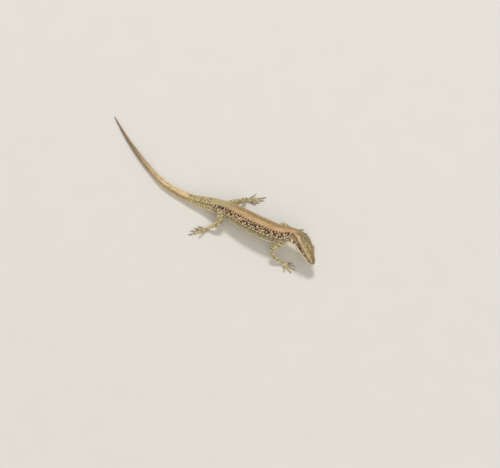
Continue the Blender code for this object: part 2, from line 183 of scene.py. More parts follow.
class Track:
    """Values that pass smoothly through a row of stations; the first three of each are its place."""

    def __init__(self, stations):
        self.rows = np.array(stations, float)
        steps = np.linalg.norm(np.diff(self.rows[:, :3], axis=0), axis=1)
        self.knots = np.concatenate(([0.0], np.cumsum(steps)))
        self.length = self.knots[-1]
        index = np.arange(len(self.rows))
        before = np.maximum(index - 1, 0)
        after = np.minimum(index + 1, len(self.rows) - 1)
        run = (self.knots[after] - self.knots[before])[:, None]
        self.slopes = (self.rows[after] - self.rows[before]) / run

    def at(self, s):
        s = np.clip(np.asarray(s, float), 0.0, self.length)
        span = np.clip(np.searchsorted(self.knots, s) - 1, 0, len(self.knots) - 2)
        step = (self.knots[span + 1] - self.knots[span])[..., None]
        t = (s - self.knots[span])[..., None] / step
        return (
            self.rows[span] * (2 * t**3 - 3 * t**2 + 1)
            + self.slopes[span] * step * (t**3 - 2 * t**2 + t)
            + self.rows[span + 1] * (3 * t**2 - 2 * t**3)
            + self.slopes[span + 1] * step * (t**3 - t**2)
        )

    def frame(self, s, roll=0.0):
        """Place, forward, left and up on the track."""
        reach = 0.05
        s = np.asarray(s, float)
        roll = np.asarray(roll, float)[..., None]
        forward = unit(self.at(s + reach)[..., :3] - self.at(s - reach)[..., :3])
        level_left = unit(np.cross((0.0, 0.0, 1.0), forward))
        level_up = np.cross(forward, level_left)
        left = level_left * np.cos(roll) - level_up * np.sin(roll)
        up = level_up * np.cos(roll) + level_left * np.sin(roll)
        return self.at(s)[..., :3], forward, left, up

    def nearest(self, points):
        """The s of the place on the track that each point lies beside."""
        samples = np.arange(0.0, self.length + 0.4, 0.4)
        places = self.at(samples)[:, :3]
        s = np.empty(len(points))
        for start in range(0, len(points), 8192):
            block = points[start:start + 8192]
            gaps = ((block[:, None, :] - places[None]) ** 2).sum(axis=2)
            s[start:start + 8192] = samples[np.argmin(gaps, axis=1)]
        for _ in range(2):
            place, forward, _, _ = self.frame(s)
            s = np.clip(s + np.clip(dot(points - place, forward), -0.5, 0.5), 0.0, self.length)
        return s


def body_track():
    """The centre line from the tail's end to the snout's tip."""
    rear = np.array(HEAD_REAR)
    forward = np.array((
        math.cos(HEAD_HEADING) * math.cos(HEAD_PITCH),
        math.sin(HEAD_HEADING) * math.cos(HEAD_PITCH),
        math.sin(HEAD_PITCH),
    ))
    stations = list(BODY_STATIONS.values())
    for from_snout, half_width, rise, drop in reversed(HEAD_SECTIONS):
        stations.append((*(rear + forward * (HEAD_LENGTH - from_snout)), half_width, rise, drop))
    stations.append((*(rear + forward * HEAD_LENGTH), *HEAD_SECTIONS[0][1:]))
    return Track(stations)


BODY = body_track()
PLACE = {name: BODY.knots[index] for index, name in enumerate(BODY_STATIONS)}
PLACE["head_rear"] = BODY.length - HEAD_LENGTH


def body_roll(s):
    trunk = TRUNK_ROLL * eased(s, PLACE["tail_root"], PLACE["pelvis"])
    return trunk + (HEAD_ROLL - TRUNK_ROLL) * eased(s, PLACE["shoulder"], PLACE["head_rear"] + 2.0)


def body_frame(s):
    return BODY.frame(s, body_roll(s))


def body_powers(s):
    """The powers of the cross-section's curve, above and below the centre line."""
    in_head = eased(s, PLACE["nape"], PLACE["head_rear"] + 3.0)
    return 2.1 + 0.65 * in_head, 2.3 - 0.1 * in_head


def body_section(s, turn, inset=0.0):
    """Across and up from the centre line."""
    half_width, rise, drop = np.moveaxis(BODY.at(s)[..., 3:6], -1, 0)
    from_tip = np.minimum((BODY.length - s) / SNOUT_ROUND, 1.0)
    blunt = np.sqrt(np.clip(1.0 - (1.0 - from_tip) ** 2, 0.04, 1.0))
    above, below = body_powers(s)
    top = np.cos(turn) > 0
    power = 2.0 / np.where(top, above, below)
    height = np.where(top, rise, drop)
    across = signed_power(np.sin(turn), power) * (half_width * blunt - inset)
    upward = signed_power(np.cos(turn), power) * (height * blunt - inset)
    return across, upward


def body_points(s, turn, inset=0.0):
    s, turn = np.broadcast_arrays(np.asarray(s, float), np.asarray(turn, float))
    across, upward = body_section(s, turn, inset)
    place, _, left, up = body_frame(s)
    return place + left * across[..., None] + up * upward[..., None]


GIRTH_STEP = 0.5                # between two places along the body where the girth is worked out
GIRTH_BEARINGS = 90             # steps of bearing from the crown to the belly's midline


class Girth:
    """Tables of the arc from the crown to any angle, for every place along the body."""

    def __init__(self):
        self.s = np.arange(0.0, BODY.length + GIRTH_STEP, GIRTH_STEP)
        self.bearing = np.linspace(0.0, math.pi, GIRTH_BEARINGS + 1)
        self.arc = np.empty((len(self.s), len(self.bearing)))
        self.rows = []
        turns = np.linspace(0.0, math.pi, 2 * GIRTH_BEARINGS + 1)
        for index, s in enumerate(self.s):
            across, upward = body_section(np.full_like(turns, s), turns, COAT)
            arcs = np.concatenate(([0.0], np.cumsum(np.hypot(np.diff(across), np.diff(upward)))))
            bearings = np.arctan2(np.maximum(across, 0.0), upward)
            self.arc[index] = np.interp(self.bearing, bearings, arcs)
            self.rows.append(arcs)
        self.turns = turns
        self.half = self.arc[:, -1]

    def arc_at(self, s, bearing):
        """The signed arc at a signed bearing, seen from the centre line."""
        along = np.clip(s / GIRTH_STEP, 0, len(self.s) - 1.001)
        round_it = np.clip(np.abs(bearing) / math.pi * GIRTH_BEARINGS, 0, GIRTH_BEARINGS - 0.001)
        i, j = along.astype(int), round_it.astype(int)
        a, b = along - i, round_it - j
        low = self.arc[i, j] * (1 - a) + self.arc[i + 1, j] * a
        high = self.arc[i, j + 1] * (1 - a) + self.arc[i + 1, j + 1] * a
        return np.sign(bearing) * (low * (1 - b) + high * b)

    def half_at(self, s):
        return np.interp(s, self.s, self.half)

    def turn_at(self, s, arcs):
        """The turns at the given signed arcs, at one place along the body."""
        row = self.rows[int(np.clip(round(s / GIRTH_STEP), 0, len(self.rows) - 1))]
        return np.sign(arcs) * np.interp(np.abs(arcs), row, self.turns)


GIRTH = Girth()


def tube_points(track, s, turn, inset=0.0):
    """Places on a limb or digit, whose turn is measured from its top."""
    s, turn = np.broadcast_arrays(np.asarray(s, float), np.asarray(turn, float))
    half_width, half_height = np.moveaxis(track.at(s)[..., 3:5], -1, 0)
    place, _, left, up = track.frame(s)
    across = np.sin(turn) * (half_width - inset)
    upward = np.cos(turn) * (half_height - inset)
    return place + left * across[..., None] + up * upward[..., None]


def mouth_height(from_snout):
    share = np.minimum(from_snout / MOUTH_CORNER, 1.0)
    return MOUTH_AT_TIP + (MOUTH_AT_CORNER - MOUTH_AT_TIP) * share


def head_place(from_snout, reach, shape):
    """A place on the head: shape gives its across and up from the half width, heights and powers there."""
    from_snout, reach = np.broadcast_arrays(np.asarray(from_snout, float), np.asarray(reach, float))
    s = BODY.length - from_snout
    place, _, left, up = body_frame(s)
    sizes = np.moveaxis(BODY.at(s)[..., 3:6], -1, 0)
    across, upward = shape(reach, *sizes, *body_powers(s))
    return place + left * across[..., None] + up * upward[..., None]


def head_side(from_snout, rise, side, inset=0.0):
    """A place on the head's side at a height above its centre line."""
    def shape(rise, half_width, high, low, above, below):
        power = np.where(rise > 0, above, below)
        share = np.clip(np.abs(rise) / np.where(rise > 0, high, low), 0.0, 0.995)
        across = half_width * (1 - share**power) ** (1 / power) - inset
        return side * across, rise
    return head_place(from_snout, rise, shape)


def head_face(from_snout, across, upper=True):
    """A place on the head's top, or under its chin, at a distance from the midline."""
    def shape(across, half_width, high, low, above, below):
        power = above if upper else below
        share = np.clip(np.abs(across) / half_width, 0.0, 0.995)
        return across, (high if upper else -low) * (1 - share**power) ** (1 / power)
    return head_place(from_snout, across, shape)


class Paw:
    """A palm with its five digits, at the end of a limb."""

    def __init__(self, joints, pattern, heading, first_side):
        self.limb = Track(joints)
        palm_length, palm_half_width = pattern["palm"]
        heading = math.radians(heading)
        self.ahead = np.array((math.cos(heading), math.sin(heading), 0.0))
        self.beside = np.array((-self.ahead[1], self.ahead[0], 0.0))
        start, along_limb, _, _ = self.limb.frame(self.limb.length)
        self.start = start
        knuckles = np.array((start[0], start[1], PALM_HEIGHT)) + self.ahead * palm_length
        turn = start + along_limb * 0.6
        half_width, half_height = self.limb.rows[-1][3:5]
        self.palm = Track((
            (*(start - along_limb * 0.4), half_width, half_height),
            (*turn, half_width, half_height),
            (*((turn + knuckles) / 2), palm_half_width * 0.85, PALM_HALF_HEIGHT * 1.15),
            (*knuckles, palm_half_width, PALM_HALF_HEIGHT),
            (*(knuckles + self.ahead * 0.5), palm_half_width * 0.7, PALM_HALF_HEIGHT * 0.7),
        ))
        self.digits = []
        for number, (length, fan) in enumerate(pattern["digits"]):
            share = 1.0 - number / 2.0
            root = knuckles + self.beside * first_side * share * palm_half_width * 0.75
            root -= self.ahead * 0.45 * abs(share) * palm_half_width
            root[2] = PALM_HEIGHT - 0.12
            self.digits.append(self.digit(root, heading + math.radians(fan) * first_side, length))

    @staticmethod
    def digit(root, heading, length):
        ahead = np.array((math.cos(heading), math.sin(heading), 0.0))
        rest = DIGIT_RADIUS - PRESS
        low = np.array((root[0], root[1], rest))
        return Track((
            (*(root - ahead * 0.3), 0.40, 0.40),
            (*(root + ahead * length * 0.35 + np.array((0, 0, 0.10))), DIGIT_RADIUS, DIGIT_RADIUS),
            (*(low + ahead * length * 0.75), DIGIT_RADIUS, DIGIT_RADIUS),
            (*(low + ahead * length), 0.33, 0.34),
            (*(low + ahead * (length + 0.22) + np.array((0, 0, 0.02))), 0.24, 0.25),
        ))


PAWS = {name: Paw(joints, pattern, heading, side) for name, joints, pattern, heading, side in LIMBS}


# ---------------------------------------------------------------- meshes

def to_frame(points):
    return (np.asarray(points, float) - BOX_CENTRE) * MM


def plain_mesh(name, points, faces):
    mesh = bpy.data.meshes.new(name)
    mesh.from_pydata([tuple(point) for point in points], [], [tuple(int(i) for i in face) for face in faces])
    mesh.update()
    return mesh


def new_object(name, mesh):
    item = bpy.data.objects.new(name, mesh)
    bpy.context.scene.collection.objects.link(item)
    return item


def keep_attribute(mesh, name, values):
    kind = "FLOAT" if values.ndim == 1 else ("FLOAT_VECTOR" if values.shape[1] == 3 else "FLOAT2")
    key = "value" if kind == "FLOAT" else "vector"
    layer = mesh.attributes.new(name, kind, "POINT")
    layer.data.foreach_set(key, np.ascontiguousarray(values, np.float32).ravel())


def keep_map(mesh, places):
    """The piece's OFBake map, from a place for each point or for each corner."""
    if len(places) == len(mesh.vertices):
        corners = np.empty(len(mesh.loops), int)
        mesh.loops.foreach_get("vertex_index", corners)
        places = places[corners]
    mesh.uv_layers.new(name="OFBake").data.foreach_set("uv", places.ravel())


def smooth_mesh(name, points, faces, attributes):
    """A smoothly shaded mesh in the frame's own units, with its points' attributes."""
    mesh = plain_mesh(name, to_frame(points), faces)
    mesh.shade_smooth()
    for key, values in attributes.items():
        keep_attribute(mesh, key, values)
    return mesh


def mesh_arrays(mesh):
    """Points and triangles of a mesh as arrays."""
    points = np.empty(len(mesh.vertices) * 3)
    mesh.vertices.foreach_get("co", points)
    mesh.calc_loop_triangles()
    triangles = np.empty(len(mesh.loop_triangles) * 3, int)
    mesh.loop_triangles.foreach_get("vertices", triangles)
    return points.reshape(-1, 3), triangles.reshape(-1, 3)


def evaluated_mesh(item):
    """The plain mesh that an object's modifiers make, in place of the object, which is removed."""
    bpy.context.view_layer.update()
    depsgraph = bpy.context.evaluated_depsgraph_get()
    mesh = bpy.data.meshes.new_from_object(
        item.evaluated_get(depsgraph), preserve_all_data_layers=True, depsgraph=depsgraph)
    bpy.data.objects.remove(item, do_unlink=True)
    return mesh


def loft_faces(rings, sides, closed=True):
    """Quads between rings of equal count, with a cap at each end."""
    row, column = np.meshgrid(np.arange(rings - 1), np.arange(sides), indexing="ij")
    here = row * sides + column
    beside = row * sides + (column + 1) % sides
    quads = np.stack((here, beside, beside + sides, here + sides), axis=-1).reshape(-1, 4)
    faces = [tuple(quad) for quad in quads]
    if closed:
        faces.append(tuple(range(sides))[::-1])
        faces.append(tuple((rings - 1) * sides + index for index in range(sides)))
    return faces


def outward(points, faces):
    """The faces, turned so that the closed shape's volume is positive."""
    volume = 0.0
    for face in faces:
        a = points[face[0]]
        for b, c in zip(face[1:-1], face[2:]):
            volume += float(np.dot(a, np.cross(points[b], points[c])))
    return faces if volume > 0 else [tuple(face)[::-1] for face in faces]


def join_shapes(shapes):
    """One list of points and faces from several."""
    points, faces, count = [], [], 0
    for shape_points, shape_faces in shapes:
        points.append(np.asarray(shape_points, float))
        faces += [tuple(index + count for index in face) for face in shape_faces]
        count += len(shape_points)
    return np.concatenate(points), faces


def loft(grid):
    """A closed shape from a grid of rings (ring, side, xyz)."""
    rings, sides = grid.shape[:2]
    return grid.reshape(-1, 3), loft_faces(rings, sides)


def summed(owners, vectors, count):
    """For each owner, the sum of its vectors."""
    return np.stack([np.bincount(owners, values, count) for values in vectors.T], axis=1)


def vertex_normals(points, triangles):
    a, b, c = points[triangles[:, 0]], points[triangles[:, 1]], points[triangles[:, 2]]
    flat = np.cross(b - a, c - a)
    return unit(sum(summed(owners, flat, len(points)) for owners in triangles.T))


def relaxed(points, triangles, rounds, weight=1.0):
    """The points, each moved towards the middle of its neighbours."""
    pairs = np.concatenate((triangles[:, (0, 1)], triangles[:, (1, 2)], triangles[:, (2, 0)]))
    pairs = np.unique(np.sort(pairs, axis=1), axis=0)
    ends = np.concatenate((pairs[:, 0], pairs[:, 1]))
    others = np.concatenate((pairs[:, 1], pairs[:, 0]))
    count = np.maximum(np.bincount(ends, minlength=len(points)), 1)[:, None]
    points = points.copy()
    share = np.broadcast_to(np.asarray(weight, float), (len(points),))[:, None] * 0.5
    for _ in range(rounds):
        points += (summed(ends, points[others], len(points)) / count - points) * share
    return points


# ---------------------------------------------------------------- where a point lies on the animal

def segment_gap(points, start, end, radius):
    line = end - start
    share = np.clip(((points - start) @ line) / (line @ line), 0.0, 1.0)
    return np.linalg.norm(points - start - share[:, None] * line, axis=1) - radius


def tube_gap(track, points):
    s = track.nearest(points)
    values = track.at(s)
    radius = values[:, 3:5].mean(axis=1)
    return s, np.linalg.norm(points - values[:, :3], axis=1) - radius


class Siting:
    """For each point: its place on the body, and the limb or paw that it belongs to."""

    def __init__(self, points):
        self.points = points
        self.s = BODY.nearest(points)
        place, _, left, up = body_frame(self.s)
        self.across = dot(points - place, left)
        self.upward = dot(points - place, up)
        self.bearing = np.arctan2(self.across, self.upward)
        distance = np.hypot(self.across, self.upward)
        half_width, rise, drop = BODY.at(self.s)[:, 3:6].T
        height = np.where(self.upward > 0, rise, drop)
        radius = 1.0 / np.hypot(np.sin(self.bearing) / half_width, np.cos(self.bearing) / height)
        beyond = np.linalg.norm(points - place, axis=1)
        gaps = [np.maximum(distance, beyond) - radius]
        self.limb_s = []
        for paw in PAWS.values():
            s, gap = tube_gap(paw.limb, points)
            self.limb_s.append(s)
            gaps.append(gap)
        for paw in PAWS.values():
            gap = segment_gap(points, paw.start, paw.palm.rows[3][:3], 0.95)
            for digit in paw.digits:
                gap = np.minimum(gap, segment_gap(points, digit.rows[0][:3], digit.rows[-1][:3], 0.33))
            gaps.append(gap)
        gaps = np.array(gaps)
        self.owner = np.argmin(gaps, axis=0)
        self.limb_lead = gaps[0] - gaps[1:].min(axis=0)
        self.from_snout = BODY.length - self.s

    def of(self, chosen):
        """The siting of the chosen points, without working it out again."""
        part = Siting.__new__(Siting)
        for name, values in vars(self).items():
            setattr(part, name, [v[chosen] for v in values] if name == "limb_s" else values[chosen])
        return part

    def attributes(self, normals):
        """The three vectors that the finishes read."""
        side = np.degrees(np.abs(self.bearing))
        arc = GIRTH.arc_at(self.s, self.bearing) * (1 - eased(side, 150, 178))
        head = eased(self.s, PLACE["head_rear"] - 1.0, PLACE["head_rear"] + 2.0)
        limb = eased(self.limb_lead, -0.7, 0.9)
        chart = np.stack((self.s, arc, side), axis=1)
        zone = np.stack((head, limb, normals[:, 2]), axis=1)
        return {"chart": chart, "zone": zone, "spot": self.points}


# Where each part's own piece of the unwrap begins, in millimetres on the sheet
TAIL_ROW = 12.5
TRUNK_ROW = 43.0
LIMB_ROW = 67.5
LIMB_STEP = 17.5
PAW_ROWS = (79.5, 91.0)
PAW_STEP = 13.0


def unwrapped(siting, normals, owner, behind_vent, upper):
    """Places on the sheet in millimetres, for points taken as parts of the given owners."""
    sheet = np.empty((len(siting.points), 2))
    arc = GIRTH.arc_at(siting.s, siting.bearing)
    radial = np.hypot(siting.across, siting.upward)
    closing = np.clip(SNOUT_ROUND - siting.from_snout, 0, None) * np.clip(1.6 - radial, 0, None)
    sheet[:, 0] = np.where(behind_vent, 2.0 + siting.s, 2.0 + siting.s - PLACE["vent"]) + closing
    sheet[:, 1] = np.where(behind_vent, TAIL_ROW, TRUNK_ROW) + arc
    for number, paw in enumerate(PAWS.values()):
        mine = owner == number + 1
        if mine.any():
            points = siting.points[mine]
            s = siting.limb_s[number][mine]
            place, _, left, up = paw.limb.frame(s)
            bearing = np.arctan2(dot(points - place, left), dot(points - place, up))
            radius = paw.limb.at(s)[:, 3:5].mean(axis=1)
            sheet[mine, 0] = 2.0 + number * LIMB_STEP + s
            sheet[mine, 1] = LIMB_ROW + bearing * radius
        mine = owner == number + 5
        if mine.any():
            offset = siting.points[mine] - paw.start
            lean = normals[mine]
            under = np.where(upper[mine], 1.0 - lean[:, 2], 1.0 + lean[:, 2]) * 0.25
            offset = offset + lean * under[:, None]
            row = np.where(upper[mine], PAW_ROWS[0], PAW_ROWS[1])
            sheet[mine, 0] = 3.0 + number * PAW_STEP + offset @ paw.ahead
            sheet[mine, 1] = row + (offset @ paw.beside) * 0.9
    return sheet


def root_places(siting, normals):
    """Each scale's place on the unwrap, from 0 to 1."""
    behind_vent = siting.s < PLACE["vent"]
    return unwrapped(siting, normals, siting.owner, behind_vent, normals[:, 2] > 0) / SHEET


def skin_unwrap(points, triangles, siting, normals):
    """The skin's own unwrap at every corner, without faces that cross a seam."""
    owner = siting.owner[triangles[:, 0]]
    flat = np.cross(points[triangles[:, 1]] - points[triangles[:, 0]],
                    points[triangles[:, 2]] - points[triangles[:, 0]])
    behind_vent = siting.s[triangles].mean(axis=1) < PLACE["vent"]
    corners = np.empty((len(triangles), 3, 2))
    for corner in range(3):
        chosen = triangles[:, corner]
        corners[:, corner] = unwrapped(siting.of(chosen), normals[chosen], owner, behind_vent, flat[:, 2] > 0)
    rows = corners[:, :, 1]
    centre = np.where(behind_vent, TAIL_ROW, TRUNK_ROW)
    centre = np.where((owner >= 1) & (owner <= 4), LIMB_ROW, centre)
    width = 2 * GIRTH.half_at(siting.s[triangles[:, 0]])
    for number, paw in enumerate(PAWS.values()):
        radius = paw.limb.at(siting.limb_s[number][triangles[:, 0]])[:, 3:5].mean(axis=1)
        width = np.where(owner == number + 1, 2 * math.pi * radius, width)
    torn = (rows.max(axis=1) - rows.min(axis=1) > width * 0.5) & (owner < 5)
    below = rows < centre[:, None]
    rows += np.where(torn[:, None] & below, width[:, None], 0.0)
    return corners / SHEET


# ---------------------------------------------------------------- the skin

def body_loft():
    s = np.append(np.arange(0.05, BODY.length - 1.6, RING_STEP), BODY.length - np.geomspace(1.5, 0.06, 14))
    turn = np.linspace(-math.pi, math.pi, 96, endpoint=False)
    return loft(body_points(s[:, None], turn[None, :], COAT))


def tube_loft(track, inset, sides, knuckles=0.0):
    s = np.arange(0.0, track.length, 0.22)
    turn = np.linspace(-math.pi, math.pi, sides, endpoint=False)
    swell = inset - knuckles * np.cos(s / track.length * 6 * math.pi)
    grid = tube_points(track, s[:, None], turn[None, :], swell[:, None])
    grid[..., 2] = np.maximum(grid[..., 2], FLOOR_CLEARANCE)
    return loft(grid)


def remeshed_body():
    """One closed skin over the body, limbs and digits, evenly meshed."""
    shapes = [body_loft()]
    for paw in PAWS.values():
        shapes.append(tube_loft(paw.limb, LIMB_COAT, 32))
        shapes.append(tube_loft(paw.palm, LIMB_COAT, 24))
        shapes += [tube_loft(digit, TOE_COAT, 14, 0.02) for digit in paw.digits]
    points, faces = join_shapes([(p, outward(p, f)) for p, f in shapes])
    item = new_object("skin_form", plain_mesh("skin_form", points, faces))
    step = item.modifiers.new("even mesh", "REMESH")
    step.mode = "VOXEL"
    step.voxel_size = VOXEL
    return evaluated_mesh(item)


def thinned(points, triangles, keep):
    """Fewer triangles where the weight is high, on the plain stretches of the skin."""
    item = new_object("skin_thin", plain_mesh("skin_thin", points, triangles))
    group = item.vertex_groups.new(name="plain")
    for level in range(1, 11):
        chosen = np.nonzero(np.ceil(keep * 10) == level)[0]
        if len(chosen):
            group.add(chosen.tolist(), level / 10, "REPLACE")
    step = item.modifiers.new("fewer faces", "DECIMATE")
    step.decimate_type = "COLLAPSE"
    step.ratio = SKIN_FACES / len(triangles)
    step.vertex_group = "plain"
    step.vertex_group_factor = 1.0
    return mesh_arrays(evaluated_mesh(item))


def eye_place(side):
    """The eyeball's centre and the directions outward, forward and up there."""
    centre = head_side(EYE_FROM_SNOUT, EYE_RISE, side, EYE_RADIUS - EYE_STANDS_OUT)
    _, forward, left, up = body_frame(BODY.length - EYE_FROM_SNOUT)
    return centre, left * side, forward, up


def ear_reach(points):
    """How far each point is from the nearer ear's axis; 1 is the ear's rim."""
    reach = np.full(len(points), 9.0)
    _, forward, left, up = body_frame(BODY.length - EAR_FROM_SNOUT)
    for side in (1, -1):
        offset = points - head_side(EAR_FROM_SNOUT, EAR_RISE, side)
        round_ear = np.hypot(offset @ forward / EAR_HALF_LENGTH, offset @ up / EAR_HALF_HEIGHT)
        reach = np.where(np.abs(offset @ left) < 1.6, np.minimum(reach, round_ear), reach)
    return reach


# The head's soft forms: how far each stands out, whether it lies on the flank or the top, its middle and
# spread behind the snout, and its middle and spread above the centre line or from the midline
HEAD_FORMS = {
    "hollow before the eye": (-0.26, "flank", (5.0, 1.7), (0.75, 0.7)),
    "brow": (0.20, "top", (8.7, 2.1), (2.6, 1.0)),
    "hollow between the brows": (-0.10, "top", (7.4, 2.6), (0.0, 0.8)),
    "jaw's muscle": (0.24, "flank", (12.5, 1.5), (-0.3, 1.3)),
    "hollow behind the eye": (-0.10, "flank", (11.2, 0.8), (1.6, 1.0)),
}


def head_relief(siting):
    """How far the head's skin stands out from its smooth form."""
    f, z, x = siting.from_snout, siting.upward, np.abs(siting.across)
    half_width, rise, _ = BODY.at(siting.s)[:, 3:6].T
    flank = eased(x / half_width, 0.55, 0.85)
    top = eased(z / rise, 0.45, 0.8)
    relief = np.zeros(len(f))
    for height, region, along, across in HEAD_FORMS.values():
        share, place = (flank, z) if region == "flank" else (top, x)
        relief += height * share * hump(f, *along) * hump(place, *across)
    from_mouth = z - mouth_height(f)
    past_corner = 1.0 - eased(f, MOUTH_CORNER - 0.2, MOUTH_CORNER + 0.8)
    relief -= 0.17 * past_corner * hump(from_mouth, 0.0, 0.13)
    relief += 0.06 * past_corner * (hump(from_mouth, 0.5, 0.3) + hump(from_mouth, -0.5, 0.3))
    ear = ear_reach(siting.points)
    relief -= 0.80 * flank * (1.0 - eased(ear, 0.72, 1.12))
    relief += 0.10 * flank * hump(ear, 1.3, 0.22)
    nostril = np.hypot(f - NOSTRIL_FROM_SNOUT, z - NOSTRIL_RISE)
    beside = eased(x / half_width, 0.4, 0.7)
    relief -= 0.30 * beside * hump(nostril, 0.0, 0.22)
    relief += 0.05 * beside * hump(nostril, 0.42, 0.14)
    return relief


def trunk_relief(siting):
    """Folds of the neck and throat, the collar, and the soft fold along each flank."""
    s, bearing = siting.s, np.abs(np.degrees(siting.bearing))
    under = eased(bearing, 88, 112)
    ahead = s - COLLAR
    relief = 0.24 * under * (1 - eased(ahead, 0.0, 3.2)) * eased(ahead, -0.12, 0.12)
    gular = PLACE["head_rear"] + 2.2
    relief -= 0.12 * under * hump(s, gular, 0.28)
    flank = hump(bearing, 96, 13)
    pelvis, shoulder, head_rear = PLACE["pelvis"], PLACE["shoulder"], PLACE["head_rear"]
    between = eased(s, pelvis + 3, pelvis + 8) * (1 - eased(s, shoulder - 6, shoulder))
    relief -= 0.20 * flank * between
    wave = np.sin(s * 2.6 + siting.bearing * 2.0) * np.sin(s * 1.15 + 0.8)
    neck = eased(s, shoulder - 1, PLACE["nape"]) * (1 - eased(s, head_rear, head_rear + 2))
    relief += 0.10 * wave * neck * hump(bearing, 100, 26)
    vent = PLACE["vent"] + 0.3
    relief -= 0.20 * eased(bearing, 125, 150) * hump(s, vent, 0.22)
    return relief


LID_SCALES_END = 0.95           # above the eye's middle, where the brow's shields begin
LID_CLEARANCE = 0.10            # between the eyeball and the skin over it


class Lid:
    """The shapes round one eye: a ring of skin that opens like an almond."""

    opening = (1.16, 0.86)
    outer = (2.15, 1.50)
    around = 84
    rows = 15

    def __init__(self, side, skin_tree):
        centre, out, ahead, up = eye_place(side)
        angle = np.linspace(0.0, 2 * math.pi, self.around, endpoint=False)
        inner = np.stack((self.opening[0] * np.cos(angle),
                          self.opening[1] * np.sin(angle) * np.abs(np.sin(angle)) ** 0.18), axis=1)
        outer = np.stack((self.outer[0] * np.cos(angle), self.outer[1] * np.sin(angle)), axis=1)
        grid = []
        for t in np.linspace(0.0, 1.0, self.rows):
            flat = inner * (1 - t) + outer * t
            reach = np.linalg.norm(flat, axis=1)
            ball = np.sqrt(np.maximum((EYE_RADIUS + LID_CLEARANCE + 0.05 * t) ** 2 - reach**2, 0.0))
            skin = np.empty(self.around)
            for index, (a, b) in enumerate(flat):
                origin = centre + out * 6.0 + ahead * a + up * b
                hit = skin_tree.ray_cast(Vector(origin), Vector(-out), 12.0)[0]
                skin[index] = (np.array(hit) - centre) @ out if hit else ball[index]
            merged = eased(np.hypot(*(flat / self.outer).T), 0.52, 0.84)
            height = ball * (1 - merged) + (skin + 0.04) * merged
            crease = 0.035 * math.sin(2 * math.pi * 2.6 * t) * math.sin(math.pi * min(t * 1.15, 1.0))
            height = height + crease - 0.16 * eased(t, 0.86, 1.0)
            grid.append(self.lifted(centre, ahead, up, out, flat, height))
        lip = inner * 0.985
        lip_height = np.sqrt(np.maximum((EYE_RADIUS - 0.03) ** 2 - (lip**2).sum(axis=1), 0.0))
        grid.insert(0, self.lifted(centre, ahead, up, out, lip, lip_height))
        grid.append(self.lifted(centre, ahead, up, out, outer * 0.93, np.full(self.around, -0.10) + 0.3))
        self.grid = np.array(grid)
        self.points = self.grid.reshape(-1, 3)
        bands = loft_faces(len(grid) + 1, self.around, closed=False)
        faces = [tuple(index % len(self.points) for index in face) for face in bands]
        self.faces = outward(self.points, faces)

    @staticmethod
    def lifted(centre, ahead, up, out, flat, height):
        return centre + ahead * flat[:, :1] + up * flat[:, 1:] + out * height[:, None]


def domed_over_eyes(points):
    """The skin pushed out to clear each eyeball, as the brow and the lids do."""
    clear = EYE_RADIUS + LID_CLEARANCE
    for side in (1, -1):
        centre, out, _, _ = eye_place(side)
        offset = points - centre
        reach = np.linalg.norm(offset, axis=1)
        push = 0.5 * (clear - reach + np.sqrt((reach - clear) ** 2 + 0.09))
        push *= (1 - eased(reach, 2.2, 3.0)) * (offset @ out > -0.6)
        points = points + offset * (push / reach)[:, None]
    return points


def sink_sockets(points):
    """The skin drawn in behind each eyeball, under the lids."""
    points = points.copy()
    for side in (1, -1):
        centre, out, forward, up = eye_place(side)
        offset = points - centre
        height = offset @ out
        reach = np.hypot(offset @ forward / Lid.outer[0], offset @ up / Lid.outer[1])
        inside = (reach < 1.0) & (height > -0.2)
        lowered = -0.2 + (height + 0.2) * eased(reach, 0.62, 0.86)
        points[inside] += (out * (lowered - height)[:, None])[inside]
    return points


def make_skin():
    """The skin's points, triangles and lids, before it gets its finish."""
    points, triangles = mesh_arrays(remeshed_body())
    points = relaxed(points, triangles, 3)
    siting = Siting(points)
    joint = hump(siting.limb_lead, 0.0, 1.0) * (siting.owner < 5)
    points = relaxed(points, triangles, 26, joint)
    fine = np.maximum(eased(siting.s, PLACE["nape"], PLACE["head_rear"]), eased(siting.owner, 4.2, 4.8))
    points, triangles = thinned(points, triangles, 1.0 - fine)
    siting = Siting(points)
    normals = vertex_normals(points, triangles)
    on_body = (siting.owner == 0) & (siting.limb_lead < -0.05)
    in_head = eased(siting.s, PLACE["head_rear"] - 1.0, PLACE["head_rear"] + 1.0)
    relief = head_relief(siting) * in_head + trunk_relief(siting)
    points = points + normals * (relief * on_body)[:, None]
    points = domed_over_eyes(points)
    points[:, 2] = np.maximum(points[:, 2], FLOOR_CLEARANCE)
    return points, triangles


